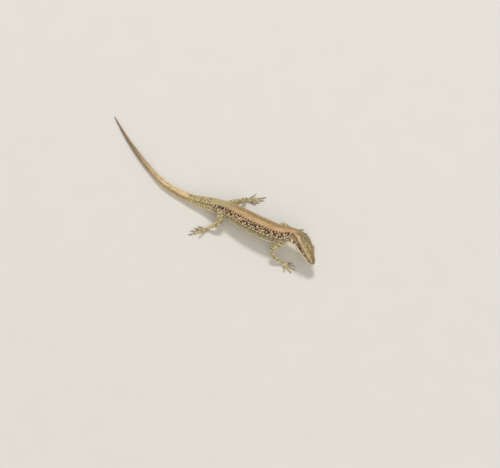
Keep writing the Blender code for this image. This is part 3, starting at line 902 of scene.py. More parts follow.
class Skin:
    """The finished skin's surface, on which every scale is rooted."""

    def __init__(self):
        points, triangles = make_skin()
        tree = BVHTree.FromPolygons(points.tolist(), triangles.tolist())
        self.lids = [Lid(side, tree) for side in (1, -1)]
        self.whole_tree = tree
        self.whole_triangles = triangles
        self.whole_normals = unit(relaxed(vertex_normals(points, triangles), triangles, 4))
        points = sink_sockets(points)
        shapes = [(points, [tuple(t) for t in triangles])]
        shapes += [(lid.points, self.split(lid.faces)) for lid in self.lids]
        self.points, faces = join_shapes(shapes)
        self.triangles = np.array(faces)
        self.normals = vertex_normals(self.points, self.triangles)
        self.soft_normals = unit(relaxed(self.normals, self.triangles, 4))
        self.tree = BVHTree.FromPolygons(self.points.tolist(), self.triangles.tolist())

    @staticmethod
    def split(quads):
        return [part for a, b, c, d in quads for part in ((a, b, c), (a, c, d))]

    def nearest(self, points, whole=False):
        """The nearest places on the skin, or on it before the sockets, the normals, and how far each is."""
        tree, triangles, soft = self.tree, self.triangles, self.soft_normals
        if whole:
            tree, triangles, soft = self.whole_tree, self.whole_triangles, self.whole_normals
        places, normals, gaps = np.empty_like(points), np.empty_like(points), np.empty(len(points))
        for index, point in enumerate(points):
            hit, _, face, gap = tree.find_nearest(Vector(point))
            places[index] = hit
            normals[index] = soft[triangles[face]].mean(axis=0)
            gaps[index] = gap
        return places, unit(normals), gaps


# ---------------------------------------------------------------- scales, laid by Geometry Nodes

class Value:
    """A socket whose arithmetic adds the nodes that work it out."""

    def __init__(self, sheet, socket):
        self.sheet = sheet
        self.socket = socket

    def math(self, operation, other=0.0):
        values = {"Value": self, "Value_001": other}
        return self.sheet.node("ShaderNodeMath", {"operation": operation}, values)["Value"]

    def __rsub__(self, other):
        return (self * -1.0) + other

    def rises(self, low, high):
        """0 below low, 1 above high, with an eased step between them."""
        values = {"Value": self, "From Min": low, "From Max": high}
        return self.sheet.node("ShaderNodeMapRange", {"interpolation_type": "SMOOTHSTEP"}, values)["Result"]

    def falls(self, low, high):
        return 1.0 - self.rises(low, high)

    def within(self, low, high, edge):
        return self.rises(low - edge, low + edge) * self.falls(high - edge, high + edge)


def socket_step(operation):
    def step(self, other=0.0):
        return self.math(operation, other)
    return step


for method, operation in (("__add__", "ADD"), ("__radd__", "ADD"), ("__sub__", "SUBTRACT"),
                          ("__mul__", "MULTIPLY"), ("__rmul__", "MULTIPLY"), ("above", "MAXIMUM"),
                          ("below", "MINIMUM"), ("sine", "SINE")):
    setattr(Value, method, socket_step(operation))


class Sheet:
    """A node tree that is written as expressions."""

    def __init__(self, tree):
        self.tree = tree

    def node(self, kind, settings=None, values=None):
        """A node with its settings and sockets set; its outputs by name."""
        made = self.tree.nodes.new(kind)
        for key, setting in (settings or {}).items():
            setattr(made, key, setting)
        for key, value in (values or {}).items():
            self.put(self.find(made.inputs, key), value)
        return {s.identifier if s.name in ("Value", "Result", "Vector") and s.enabled is False else s.name:
                Value(self, s) for s in made.outputs if s.enabled}

    @staticmethod
    def find(sockets, key):
        for socket in sockets:
            if socket.identifier == key:
                return socket
        return next(socket for socket in sockets if socket.name == key and socket.enabled)

    def put(self, socket, value):
        """The value into the socket, by a link if it comes from another node."""
        if isinstance(value, Value):
            self.tree.links.new(value.socket, socket)
        else:
            socket.default_value = value

    def vector(self, operation, a, b=(0.0, 0.0, 0.0), scale=1.0):
        values = {"Vector": a, "Vector_001": b, "Scale": scale}
        return self.node("ShaderNodeVectorMath", {"operation": operation}, values)["Vector"]

    def triple(self, x, y, z=0.0):
        return self.node("ShaderNodeCombineXYZ", None, {"X": x, "Y": y, "Z": z})["Vector"]

    def parts(self, vector):
        made = self.node("ShaderNodeSeparateXYZ", None, {"Vector": vector})
        return made["X"], made["Y"], made["Z"]

    def blend(self, share, first, second, how="MIX"):
        values = {"Factor_Float": share, "A_Color": first, "B_Color": second}
        settings = {"data_type": "RGBA", "blend_type": how, "clamp_factor": True}
        return self.node("ShaderNodeMix", settings, values)["Result"]


def scale_laying_tree():
    """Sets one scale on each root, along its lie, and gives it its place on the unwrap."""
    tree = bpy.data.node_groups.new("lay scales", "GeometryNodeTree")
    for name, kind in (("Geometry", "Geometry"), ("Scale shape", "Object"), ("Finish", "Material"),
                       ("Size variation", "Float"), ("Patch width", "Float"), ("Seed", "Int")):
        tree.interface.new_socket(name=name, in_out="INPUT", socket_type="NodeSocket" + kind)
    tree.interface.new_socket(name="Geometry", in_out="OUTPUT", socket_type="NodeSocketGeometry")
    sheet = Sheet(tree)
    given = sheet.node("NodeGroupInput")

    def root_vector(name):
        settings = {"data_type": "FLOAT_VECTOR"}
        return sheet.node("GeometryNodeInputNamedAttribute", settings, {"Name": name})["Attribute"]

    variation = sheet.node("FunctionNodeRandomValue", {"data_type": "FLOAT"}, {
        "Min_001": 1.0 - given["Size variation"], "Max_001": 1.0 + given["Size variation"],
        "Seed": given["Seed"]})["Value"]
    upright = sheet.node("FunctionNodeAlignRotationToVector", {"axis": "Z"},
                         {"Vector": root_vector("out")})["Rotation"]
    turned = sheet.node("FunctionNodeAlignRotationToVector", {"axis": "X", "pivot_axis": "Z"},
                        {"Rotation": upright, "Vector": root_vector("lie")})["Rotation"]
    shape = sheet.node("GeometryNodeObjectInfo", {"transform_space": "ORIGINAL"},
                       {"Object": given["Scale shape"]})["Geometry"]
    size = sheet.vector("SCALE", root_vector("size"), scale=variation)
    laid = sheet.node("GeometryNodeInstanceOnPoints", None, {
        "Points": given["Geometry"], "Instance": shape, "Rotation": turned, "Scale": size})["Instances"]
    real = sheet.node("GeometryNodeRealizeInstances", None, {"Geometry": laid})["Geometry"]
    patch = sheet.vector("SCALE", root_vector("patch"), scale=given["Patch width"])
    place = sheet.vector("ADD", root_vector("root"), patch)
    mapped = sheet.node("GeometryNodeStoreNamedAttribute", {"data_type": "FLOAT2", "domain": "CORNER"}, {
        "Geometry": real, "Name": "OFBake", "Value": place})["Geometry"]
    finished = sheet.node("GeometryNodeSetMaterial", None, {
        "Geometry": mapped, "Material": given["Finish"]})["Geometry"]
    sheet.node("NodeGroupOutput", None, {"Geometry": finished})
    return tree


def scale_shape(name, rings, square, keel, tail):
    """One scale about 2 across: rings of (size, height), with its back along +X."""
    sides = 8
    turn = 2 * math.pi * (np.arange(sides) + 0.5) / sides
    grid = []
    for reach, height in rings:
        x = signed_power(np.cos(turn), 2 / square) * reach
        y = signed_power(np.sin(turn), 2 / square) * reach
        x = x + tail * np.maximum(x, 0) * (1 - np.abs(y))
        ridge = keel * np.maximum(0, 1 - 2.5 * np.abs(y)) * (height > 0)
        grid.append(np.stack((x, y, height + ridge + 0 * x), axis=1))
    points = np.concatenate(grid + [np.array([[0.0, 0.0, rings[-1][1] + keel + 0.12]])])
    faces = loft_faces(len(rings), sides, closed=False)
    faces.append(tuple(range(sides))[::-1])
    last = (len(rings) - 1) * sides
    faces += [(last + index, last + (index + 1) % sides, len(points) - 1) for index in range(sides)]
    mesh = plain_mesh(name, points, outward(points, faces))
    mesh.shade_smooth()
    keep_attribute(mesh, "patch", points * np.array((0.5, 0.5, 0.0)))
    return bpy.data.objects.new(name, mesh)


# How far a scale's place on the smooth form may lie from the skin: mostly, under the head and over
# the limbs' roots, where the skin is pulled in, and on the digits
ROOT_GAP = 0.32
HEAD_ROOT_GAP = 0.6
LIMB_ROOT_GAP = 0.55
DIGIT_ROOT_GAP = 0.2


class Roots:
    """The places where scales grow, gathered until they are laid."""

    def __init__(self, skin):
        self.skin = skin
        self.places, self.normals, self.lies, self.sizes = [], [], [], []

    def add(self, points, lies, sizes, keep=None, most_gap=ROOT_GAP):
        """Roots at the skin's nearest places; those far from it lie inside the animal and are left out."""
        places, normals, gaps = self.skin.nearest(points)
        wanted = gaps < most_gap
        if keep is not None:
            wanted &= keep(places)
        self.places.append(places[wanted])
        self.normals.append(normals[wanted])
        self.lies.append(np.broadcast_to(lies, points.shape)[wanted])
        self.sizes.append(np.broadcast_to(sizes, points.shape)[wanted])

    def gathered(self):
        return [np.concatenate(part) for part in (self.places, self.normals, self.lies, self.sizes)]


def finished_piece(name, mesh, material):
    """A finished mesh as a piece that rides on the model."""
    mesh.materials.clear()
    mesh.materials.append(material)
    piece = new_object(name, mesh)
    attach(piece, "root")
    return piece


def lay_scales(name, roots, shape, material, seed, variation=0.10, select=None):
    """The realized scales on the given roots, as one plain mesh."""
    places, normals, lies, sizes = roots.gathered()
    if select is not None:
        chosen = select(places)
        places, normals, lies, sizes = places[chosen], normals[chosen], lies[chosen], sizes[chosen]
    siting = Siting(places)
    mesh = plain_mesh(name + "_roots", to_frame(places), [])
    root = np.pad(root_places(siting, normals), ((0, 0), (0, 1)))
    layers = {**siting.attributes(normals), "out": normals, "lie": lies, "size": sizes * MM, "root": root}
    for key, values in layers.items():
        keep_attribute(mesh, key, values)
    item = new_object(name + "_roots", mesh)
    step = item.modifiers.new("scales", "NODES")
    step.node_group = LAYING
    given = {"Scale shape": shape, "Finish": material, "Size variation": variation,
             "Patch width": PATCH, "Seed": seed}
    for socket in LAYING.interface.items_tree:
        if socket.name in given and socket.in_out == "INPUT":
            step[socket.identifier] = given[socket.name]
    laid = evaluated_mesh(item)
    corners = np.empty(len(laid.vertices) * 3, np.float32)
    laid.vertices.foreach_get("co", corners)
    corners[2::3] = np.maximum(corners[2::3], FLOOR_CLEARANCE * MM)
    laid.vertices.foreach_set("co", corners)
    for key in ("out", "lie", "size", "root", "patch"):
        laid.attributes.remove(laid.attributes[key])
    return finished_piece(name, laid, material)


# ---------------------------------------------------------------- plates and shields

def stepped(outline, step=0.30):
    """The closed outline with its corners rounded, and points at even steps along its edges."""
    outline = np.asarray(outline, float)
    for cut in (0.12, 0.22):
        following = np.roll(outline, -1, axis=0)
        ends = (outline * (1 - cut) + following * cut, outline * cut + following * (1 - cut))
        outline = np.stack(ends, axis=1).reshape(-1, 2)
    points = []
    for here, there in zip(outline, np.roll(outline, -1, axis=0)):
        count = max(1, int(math.ceil(np.linalg.norm(there - here) / step)))
        points += [here + (there - here) * index / count for index in range(count)]
    return np.array(points)


def softened(ring, rounds):
    """The closed ring with its small folds smoothed out."""
    for _ in range(rounds):
        ring = 0.5 * ring + 0.25 * (np.roll(ring, 1, axis=0) + np.roll(ring, -1, axis=0))
    return ring


def area_of(outline):
    x, y = outline.T
    return 0.5 * np.sum(x * np.roll(y, -1) - np.roll(x, -1) * y)


def drawn_in(outline, width):
    """The outline, moved inward all round by one width."""
    ahead = unit(np.roll(outline, -1, axis=0) - outline)
    behind = unit(outline - np.roll(outline, 1, axis=0))
    side = unit(np.stack((-(ahead + behind)[:, 1], (ahead + behind)[:, 0]), axis=1))
    return outline + side * width


def inside(outline, first, second):
    """True for the places inside an outline, given by their two coordinates."""
    result = np.zeros(len(first), bool)
    for (a, b), (c, d) in zip(outline, np.roll(outline, -1, axis=0)):
        if b != d:
            crossing = a + (c - a) * (second - b) / (d - b)
            result ^= ((b > second) != (d > second)) & (first < crossing)
    return result


def filled(ring, spacing):
    """Points and triangles that fill a flat outline, with a loose grid of points inside it."""
    low, high = ring.min(axis=0), ring.max(axis=0)
    inner = drawn_in(ring, spacing * 0.6)
    grid = []
    for row, x in enumerate(np.arange(low[0] + spacing / 2, high[0], spacing)):
        for y in np.arange(low[1] + spacing * (0.5 + 0.5 * (row % 2)), high[1], spacing):
            grid.append((x, y))
    points = [tuple(p) for p in ring]
    if grid:
        grid = np.array(grid)
        points += [tuple(p) for p in grid[inside(inner, *grid.T)]]
    edges = [(index, (index + 1) % len(ring)) for index in range(len(ring))]
    made = delaunay_2d_cdt([Vector(p) for p in points], edges, [], 1, 1e-5)
    return np.array([tuple(p) for p in made[0]]), [tuple(face) for face in made[2]]


class Plates:
    """Bevelled plates laid on the skin, gathered into one piece."""

    def __init__(self, skin):
        self.skin = skin
        self.points, self.faces, self.rims, self.spots = [], [], [], []
        self.count = 0
        self.number = 0

    def add(self, outline, surface, thick, gap=0.07, lift=None, crown=0.0):
        """One plate from its outline on a chart, which surface turns into places near the skin."""
        outline = stepped(outline)
        if area_of(outline) < 0:
            outline = outline[::-1]
        inset = gap / 2
        levels = ((inset - 0.03, -0.14, 1.0, 0), (inset, thick * 0.35, 1.0, 0),
                  (inset + 0.07, thick * 0.85, 0.8, 2), (inset + 0.17, thick, 0.35, 5))
        rings = [softened(drawn_in(outline, width), rounds) for width, _, _, rounds in levels]
        count = len(outline)
        flat, top_faces = filled(rings[-1], 0.45)
        extra = flat[count:]
        chart = np.concatenate(rings + [extra])
        heights = np.concatenate([np.full(count, height) for _, height, _, _ in levels]
                                 + [np.full(len(extra), thick + crown)])
        rims = np.concatenate([np.full(count, rim) for _, _, rim, _ in levels] + [np.zeros(len(extra))])
        if lift is not None:
            heights = np.where(heights > 0, heights + lift(chart), heights)
        below_top = count * (len(rings) - 1)
        faces = [tuple(below_top + index for index in face) for face in top_faces]
        faces += loft_faces(len(rings), count, closed=False)
        faces.append(tuple(range(count))[::-1])
        places, normals, _ = self.skin.nearest(surface(chart[:, 0], chart[:, 1]), whole=True)
        points = places + normals * heights[:, None]
        faces = outward(points - points.mean(axis=0), faces)
        self.points.append(points)
        self.faces += [tuple(index + self.count for index in face) for face in faces]
        self.rims.append(rims)
        self.spots.append(points + self.number * np.array((3.7, 1.9, 2.3)))
        self.count += len(points)
        self.number += 1

    def finished(self, name, material, slot):
        points = np.concatenate(self.points)
        points[:, 2] = np.maximum(points[:, 2], FLOOR_CLEARANCE)
        siting = Siting(points)
        _, normals, _ = self.skin.nearest(points)
        rims = np.concatenate(self.rims)
        given = {**siting.attributes(normals), "spot": np.concatenate(self.spots), "rim": rims}
        mesh = smooth_mesh(name, points, self.faces, given)
        keep_map(mesh, root_places(siting, normals) + rims[:, None] * RIM_ON_SHEET)
        return finished_piece(name, mesh, material)


def mirrored(half):
    """A closed outline from the half of it on the animal's left."""
    return list(half) + [(f, -x) for f, x in reversed(half) if x > 0]


# How thick the shields are, and how the lips' shields lie about the mouth line
SHIELD = 0.11
SHIELD_CROWN = 0.02
LIP_SHIELD = 0.09
CHIN_SHIELD = 0.08
BROW_THICKNESS = 0.16
BROW_PLATE = 0.86
LIP_GAP = 0.07
LOWER_LABIAL_REACH = 0.80

# Outlines from (distance behind the snout, distance from the midline); the side shields' second
# number is the height above the head's centre line
MIDLINE_SHIELDS = {
    "frontonasal": ((1.75, 0), (1.95, 0.75), (2.35, 1.22), (3.0, 1.05), (3.35, 0.55), (3.5, 0)),
    "frontal": ((5.0, 0), (5.35, 1.35), (6.25, 1.25), (8.05, 0.95), (9.1, 0.98), (9.5, 0.35), (9.55, 0)),
    "interparietal": ((10.95, 0), (11.2, 0.40), (12.2, 0.50), (13.35, 0.22), (13.4, 0)),
    "occipital": ((13.4, 0), (13.4, 0.25), (14.7, 0.80), (14.85, 0)),
}
PAIRED_SHIELDS = {
    "supranasal": ((0.55, 0), (0.65, 1.05), (1.2, 1.74), (2.3, 2.06), (2.33, 1.26), (1.93, 0.77), (1.75, 0)),
    "prefrontal": ((3.5, 0), (3.35, 0.57), (3.0, 1.09), (2.37, 1.28), (2.35, 2.10), (3.6, 2.52), (4.75, 2.82),
                   (5.35, 1.38), (5.0, 0)),
    "first supraocular": ((4.80, 2.82), (5.4, 1.5), (6.25, 1.28), (6.15, 2.62), (6.05, 3.04), (5.6, 3.02)),
    "second supraocular": ((6.27, 1.28), (8.05, 1.0), (8.1, 3.24), (7.1, 3.20), (6.1, 3.06), (6.18, 2.62)),
    "third supraocular": ((8.08, 1.0), (9.1, 1.05), (9.95, 1.58), (10.0, 3.40), (8.13, 3.26)),
    "fourth supraocular": ((9.98, 1.62), (10.75, 2.0), (10.95, 3.50), (10.02, 3.42)),
    "frontoparietal": ((9.55, 0), (9.5, 0.4), (9.15, 1.0), (9.95, 1.55), (10.72, 1.95), (11.1, 1.15),
                       (11.2, 0.38), (10.95, 0)),
    "parietal": ((11.22, 0.42), (11.12, 1.18), (10.78, 2.0), (10.98, 3.52), (12.5, 3.98), (14.2, 4.00),
                 (14.85, 2.6), (14.75, 0.85), (13.38, 0.3), (12.2, 0.55)),
}
CHIN_SHIELDS = {
    "first": ((1.3, 0.02), (1.05, 0.8), (2.3, 1.35), (2.75, 0.02)),
    "second": ((2.8, 0.02), (2.35, 1.4), (4.2, 2.1), (4.9, 0.05)),
    "third": ((4.95, 0.12), (4.25, 2.15), (6.4, 2.95), (7.2, 2.2), (5.7, 0.7)),
    "fourth": ((6.6, 2.95), (7.3, 2.3), (8.9, 2.7), (8.7, 3.4)),
}
SIDE_SHIELDS = {
    "nasal": ((0.75, 0.70), (0.95, 1.06), (2.12, 1.27), (2.05, 0.66)),
    "first loreal": ((2.12, 0.40), (2.15, 1.27), (3.1, 1.47), (3.1, 0.34)),
    "second loreal": ((3.1, 0.34), (3.1, 1.49), (5.3, 1.88), (5.3, 0.18)),
    "preocular": ((5.32, 0.18), (5.32, 1.88), (5.9, 1.78), (6.55, 1.66), (6.75, 1.30), (6.75, 0.10)),
    "masseteric": ((11.9, -0.35), (11.6, 0.25), (11.95, 0.80), (12.6, 0.85), (13.0, 0.30), (12.7, -0.30)),
    "tympanic": ((13.2, 0.50), (13.3, 0.95), (14.3, 0.85), (14.4, 0.45)),
    "first supratemporal": ((11.0, 2.05), (11.1, 2.68), (12.2, 2.74), (12.2, 2.0)),
    "second supratemporal": ((12.25, 2.0), (12.25, 2.74), (13.3, 2.72), (13.3, 1.95)),
    "third supratemporal": ((13.35, 1.95), (13.35, 2.72), (14.4, 2.62), (14.4, 1.85)),
}
BROW_PLACES = (5.7, 7.0, 8.9, 11.0)
BROW_UNDER = (1.74, 2.12, 2.32, 2.22)
BROW_OVER = (2.02, 2.48, 2.80, 2.62)
# The labials' edges along each lip, and how high above the mouth the upper ones reach
UPPER_LABIALS = (0.75, 1.9, 3.1, 4.4, 5.8, 7.3, 10.1, 11.3, 12.3)
UPPER_LABIAL_TOPS = (0.72, 0.78, 0.82, 0.84, 0.86, 1.12, 0.85, 0.70)
LOWER_LABIALS = (0.6, 1.6, 3.0, 4.6, 6.3, 8.1, 10.2, 11.4)


def lip_outline(start, end, near, far):
    """A labial between two places along the mouth, from near to far of the mouth line."""
    stations = (start, (start + end) / 2, end)
    lower = [(f, mouth_height(f) + near) for f in stations]
    upper = [(f, mouth_height(f) + far) for f in reversed(stations)]
    return lower + upper


def head_shields(skin, material):
    plates = Plates(skin)
    for outline in MIDLINE_SHIELDS.values():
        plates.add(mirrored(outline), head_face, SHIELD, crown=SHIELD_CROWN)
    for side in (1, -1):
        def across(f, x):
            return head_face(f, x * side)

        def chin(f, x):
            return head_face(f, x * side, upper=False)

        def flank(f, z):
            return head_side(f, z, side)

        for outlines, surface, thick, crown in (
                (PAIRED_SHIELDS, across, SHIELD, SHIELD_CROWN),
                (CHIN_SHIELDS, chin, CHIN_SHIELD, 0.0),
                (SIDE_SHIELDS, flank, LIP_SHIELD, 0.0)):
            for outline in outlines.values():
                plates.add(outline, surface, thick, crown=crown)
        for start, end, far in zip(UPPER_LABIALS, UPPER_LABIALS[1:], UPPER_LABIAL_TOPS):
            plates.add(lip_outline(start, end, LIP_GAP, far), flank, LIP_SHIELD)
        for start, end in zip(LOWER_LABIALS, LOWER_LABIALS[1:]):
            plates.add(lip_outline(start, end, -LIP_GAP, -LOWER_LABIAL_REACH), flank, CHIN_SHIELD)
        for start in np.arange(5.75, 10.9, BROW_PLATE):
            brow = np.array((start, start + BROW_PLATE / 2, start + BROW_PLATE))
            under = np.interp(brow, BROW_PLACES, BROW_UNDER)
            over = np.interp(brow, BROW_PLACES, BROW_OVER)
            edge = list(zip(brow, under)) + list(zip(brow[::-1] + 0.05, over[::-1]))
            plates.add(edge, flank, BROW_THICKNESS)
    mental = ((0.15, 0), (0.3, 0.55), (1.0, 0.75), (1.28, 0))
    plates.add(mirrored(mental), lambda f, x: head_face(f, x, upper=False), CHIN_SHIELD)

    def snout_front(across, rise):
        place, forward, left, up = body_frame(np.full(len(across), BODY.length))
        return place + forward * 0.2 + left * across[:, None] + up * rise[:, None]

    rostral = ((-0.28, 0), (-0.28, 0.55), (0.15, 0.85), (0.62, 0.35), (0.66, 0))
    plates.add([(x, z) for z, x in mirrored(rostral)], snout_front, LIP_SHIELD)
    return plates.finished("head_shields", material, "shields")


BELLY_SHARE = 0.27              # of the half girth, covered by the plates on each side of the midline
BELLY_ROWS = 27
BELLY_COLUMNS = (0.0, 0.30, 0.72, 1.0)      # the edges of three plates, as shares of that width
BELLY_GAP = 0.05
COLLAR_PLATE = 1.12             # from the middle of one plate of the collar to the next
COLLAR = PLACE["shoulder"] + 0.8


def belly_surface(s, from_midline):
    """Places from the distance along the body and the arc from the belly's midline."""
    middle = float(np.mean(s))
    half = GIRTH.half_at(middle)
    side = np.where(from_midline < 0, -1.0, 1.0)
    turn = GIRTH.turn_at(middle, side * (half - np.abs(from_midline)))
    return body_points(s, turn, COAT)


def belly_plates(skin, material):
    plates = Plates(skin)
    vent = PLACE["vent"]
    rear, front = vent + 2.2, COLLAR - 0.1
    pitch = (front - rear) / BELLY_ROWS
    for row in range(BELLY_ROWS):
        start = rear + row * pitch
        half = GIRTH.half_at(start + pitch / 2) * BELLY_SHARE

        def overlap(chart, start=start):
            return 0.09 * (1 - eased(chart[:, 0], start - 0.2, start + pitch * 0.9)) - 0.02

        for inner, outer in zip(BELLY_COLUMNS, BELLY_COLUMNS[1:]):
            for side in (1, -1):
                a, b = side * inner * half, side * outer * half
                bow = 0.10 * (b - a)
                outline = ((start - 0.22, a + bow), (start - 0.22, b - bow), (start + 0.25, b),
                           (start + pitch, b), (start + pitch, a), (start + 0.25, a))
                plates.add(outline, belly_surface, thick=0.06, gap=BELLY_GAP, lift=overlap)
    preanal = [(vent + s, x) for s, x in ((0.35, 0), (0.45, 0.9), (1.0, 1.5), (2.0, 1.3), (2.1, 0))]
    plates.add(mirrored(preanal), belly_surface, thick=0.08)

    def free_edge(chart):
        return 0.10 * (1 - eased(chart[:, 0], COLLAR - 0.1, COLLAR + 0.8))

    for index in range(-5, 6):
        length = 1.15 - 0.05 * abs(index)
        corners = ((-0.12, -0.30), (-0.12, 0.30), (0.25, 0.55), (length, 0.50), (length, -0.50),
                   (0.25, -0.55))
        outline = [(COLLAR + s, index * COLLAR_PLATE + x) for s, x in corners]
        plates.add(outline, belly_surface, thick=0.07, gap=BELLY_GAP, lift=free_edge)
    return plates.finished("belly_plates", material, "belly_plates")


# ---------------------------------------------------------------- where scales grow

# A granule's half length and half width, as shares of the step to the next
HALF_LENGTH = 0.56
HALF_WIDTH = 0.53
ROW_STEPS = (0.30, 0.46)        # the least and the most from one row of granules to the next
LIMB_ROW_STEP = 0.40
LIMB_SCALE_WIDTH = 0.43
PALM_ROW_STEP = 0.34
DIGIT_ROW_STEP = 0.36


def row_turns(s, columns, share, stagger):
    """Turns of an even number of scales, symmetrical about the crown, over a share of the half girth."""
    half = float(GIRTH.half_at(s)) * share
    pitch = 2 * half / columns
    arcs = -half + pitch * (np.arange(columns) + 0.5 + (0.5 if stagger else 0.0))
    arcs = arcs[arcs < half + (0.01 if share == 1.0 else -0.01)]
    return GIRTH.turn_at(s, arcs), pitch


def grow_rows(roots, start, end, columns, height, longer, keep, share=1.0, most_gap=ROOT_GAP):
    """Rows of granules across the body, from one place along it to another."""
    s, number = start, 0
    while s < end:
        turns, pitch = row_turns(s, columns, share, number % 2 == 1)
        step = min(max(pitch * longer, ROW_STEPS[0]), ROW_STEPS[1])
        _, forward, _, _ = body_frame(np.array([s]))
        points = body_points(s, turns, COAT)
        size = (step * HALF_LENGTH, pitch * HALF_WIDTH, height)
        roots.add(points, -forward, size, keep, most_gap)
        s += step
        number += 1


def grow_whorls(roots, start, end, pitch, width, height):
    """Rings of longer scales round the tail."""
    s, number = start, 0
    while s < end:
        girth = 2 * float(GIRTH.half_at(s))
        columns = max(8, 2 * int(round(girth / width / 2)))
        turns, across = row_turns(s, columns, 1.0, number % 2 == 1)
        thin = min(1.0, girth / 6.0)
        _, forward, _, _ = body_frame(np.array([s]))
        points = body_points(s, turns, COAT)
        roots.add(points, -forward, (pitch * 0.60, across * HALF_WIDTH, height * thin))
        s += pitch * (0.75 + 0.25 * thin)
        number += 1


def grow_on_limb(roots, paw):
    track = paw.limb
    s, number = 0.0, 0
    while s < track.length + 0.2:
        radius = track.at(s)[3:5].mean()
        columns = max(12, int(round(2 * math.pi * radius / LIMB_SCALE_WIDTH)))
        turns = 2 * math.pi * (np.arange(columns) + 0.5 * (number % 2)) / columns
        _, forward, _, _ = track.frame(s)
        points = tube_points(track, s, turns, LIMB_COAT)
        width = math.pi * radius / columns
        most_gap = LIMB_ROOT_GAP if s < 3.0 else ROOT_GAP
        roots.add(points, forward, (0.23, width * 1.06, 0.075), most_gap=most_gap)
        s += LIMB_ROW_STEP
        number += 1
    for s in np.arange(0.2, paw.palm.length, PALM_ROW_STEP):
        turns = 2 * math.pi * (np.arange(16) + 0.5 * (int(s / PALM_ROW_STEP) % 2)) / 16
        _, forward, _, _ = paw.palm.frame(s)
        roots.add(tube_points(paw.palm, s, turns, LIMB_COAT), forward, (0.19, 0.19, 0.055))


def grow_on_digits(upper, lower, paw):
    over = np.radians((-96, -58, -20, 20, 58, 96))
    for digit in paw.digits:
        for s in np.arange(0.45, digit.length - 0.15, DIGIT_ROW_STEP):
            _, forward, _, _ = digit.frame(s)
            for roots, turns, size in ((upper, over, (0.21, 0.125, 0.05)),
                                       (lower, np.array([math.pi]), (0.20, 0.21, 0.03))):
                places = tube_points(digit, s, turns, TOE_COAT)
                roots.add(places, forward, size, most_gap=DIGIT_ROOT_GAP)


# From the snout, where the neck's scales begin, and where the chin's rows of smaller scales do
NECK_SCALES = 14.9
CHIN_SCALES = 5.4
CHIN_FRONT = 1.6


def off_the_shields(places):
    """True on the parts of the head and neck that carry small scales."""
    siting = Siting(places)
    f, z, x = siting.from_snout, siting.upward, np.abs(siting.across)
    ear = ear_reach(places)
    eye = np.hypot(f - EYE_FROM_SNOUT, z - EYE_RISE)
    behind = (f > NECK_SCALES + 0.05) & (ear > 1.0)
    temple = (f > 10.6) & (z < 1.95) & (z > mouth_height(f) + 0.95 - 2.2 * eased(f, 11.9, 12.5))
    temple &= (ear > 1.0) & (eye > 1.85) & (x > 2.0)
    temple &= np.hypot(f - 12.3, z - 0.25) > 0.72
    jowl = (f > 11.5) & (z < 0.5) & (ear > 1.0)
    under = (z < mouth_height(f) - LOWER_LABIAL_REACH - 0.08) & (z < 0) & (f > CHIN_FRONT)
    corner = (f > 13.3) & (x > 2.4) & (z > 1.7) & ((f > 14.2) | (z > 2.85))
    for margin in (-0.10, 0.10):
        for outline in CHIN_SHIELDS.values():
            under &= ~inside(outline, f + margin, x) & ~inside(outline, f, x + margin)
        parietal = PAIRED_SHIELDS["parietal"]
        corner &= ~inside(parietal, f + 0.28 + margin, x) & ~inside(parietal, f + 0.28, x + margin)
    post_orbital = (f > 9.9) & (f < 11.2) & (z > 0.35) & (z < 2.1) & (eye > 1.75) & (x > 2.0)
    return behind | temple | jowl | under | post_orbital | corner


def from_belly_line(siting):
    """The arc from the belly's midline."""
    return GIRTH.half_at(siting.s) - np.abs(GIRTH.arc_at(siting.s, siting.bearing))


def not_on_ear(places):
    return ear_reach(places) > 1.0


def off_the_preanal(places):
    siting = Siting(places)
    return np.hypot(siting.s - PLACE["vent"] - 1.22, from_belly_line(siting) / 1.55) > 1.0


def off_the_collar(places):
    siting = Siting(places)
    return ((siting.s > COLLAR + 1.0) | (from_belly_line(siting) > 6.1)) & (ear_reach(places) > 1.0)


# Each kind of small scale: its rings as (size, height), how square it is, its keel and its point
SCALE_SHAPES = {
    "granule": (((0.98, -0.45), (0.92, 0.45), (0.50, 0.90)), 2.4, 0.0, 0.0),
    "keeled scale": (((0.96, -0.5), (0.98, 0.35), (0.62, 0.75)), 3.2, 0.40, 0.15),
    "tail scale": (((0.96, -0.5), (0.96, 0.40), (0.66, 0.85)), 4.0, 0.10, 0.05),
}


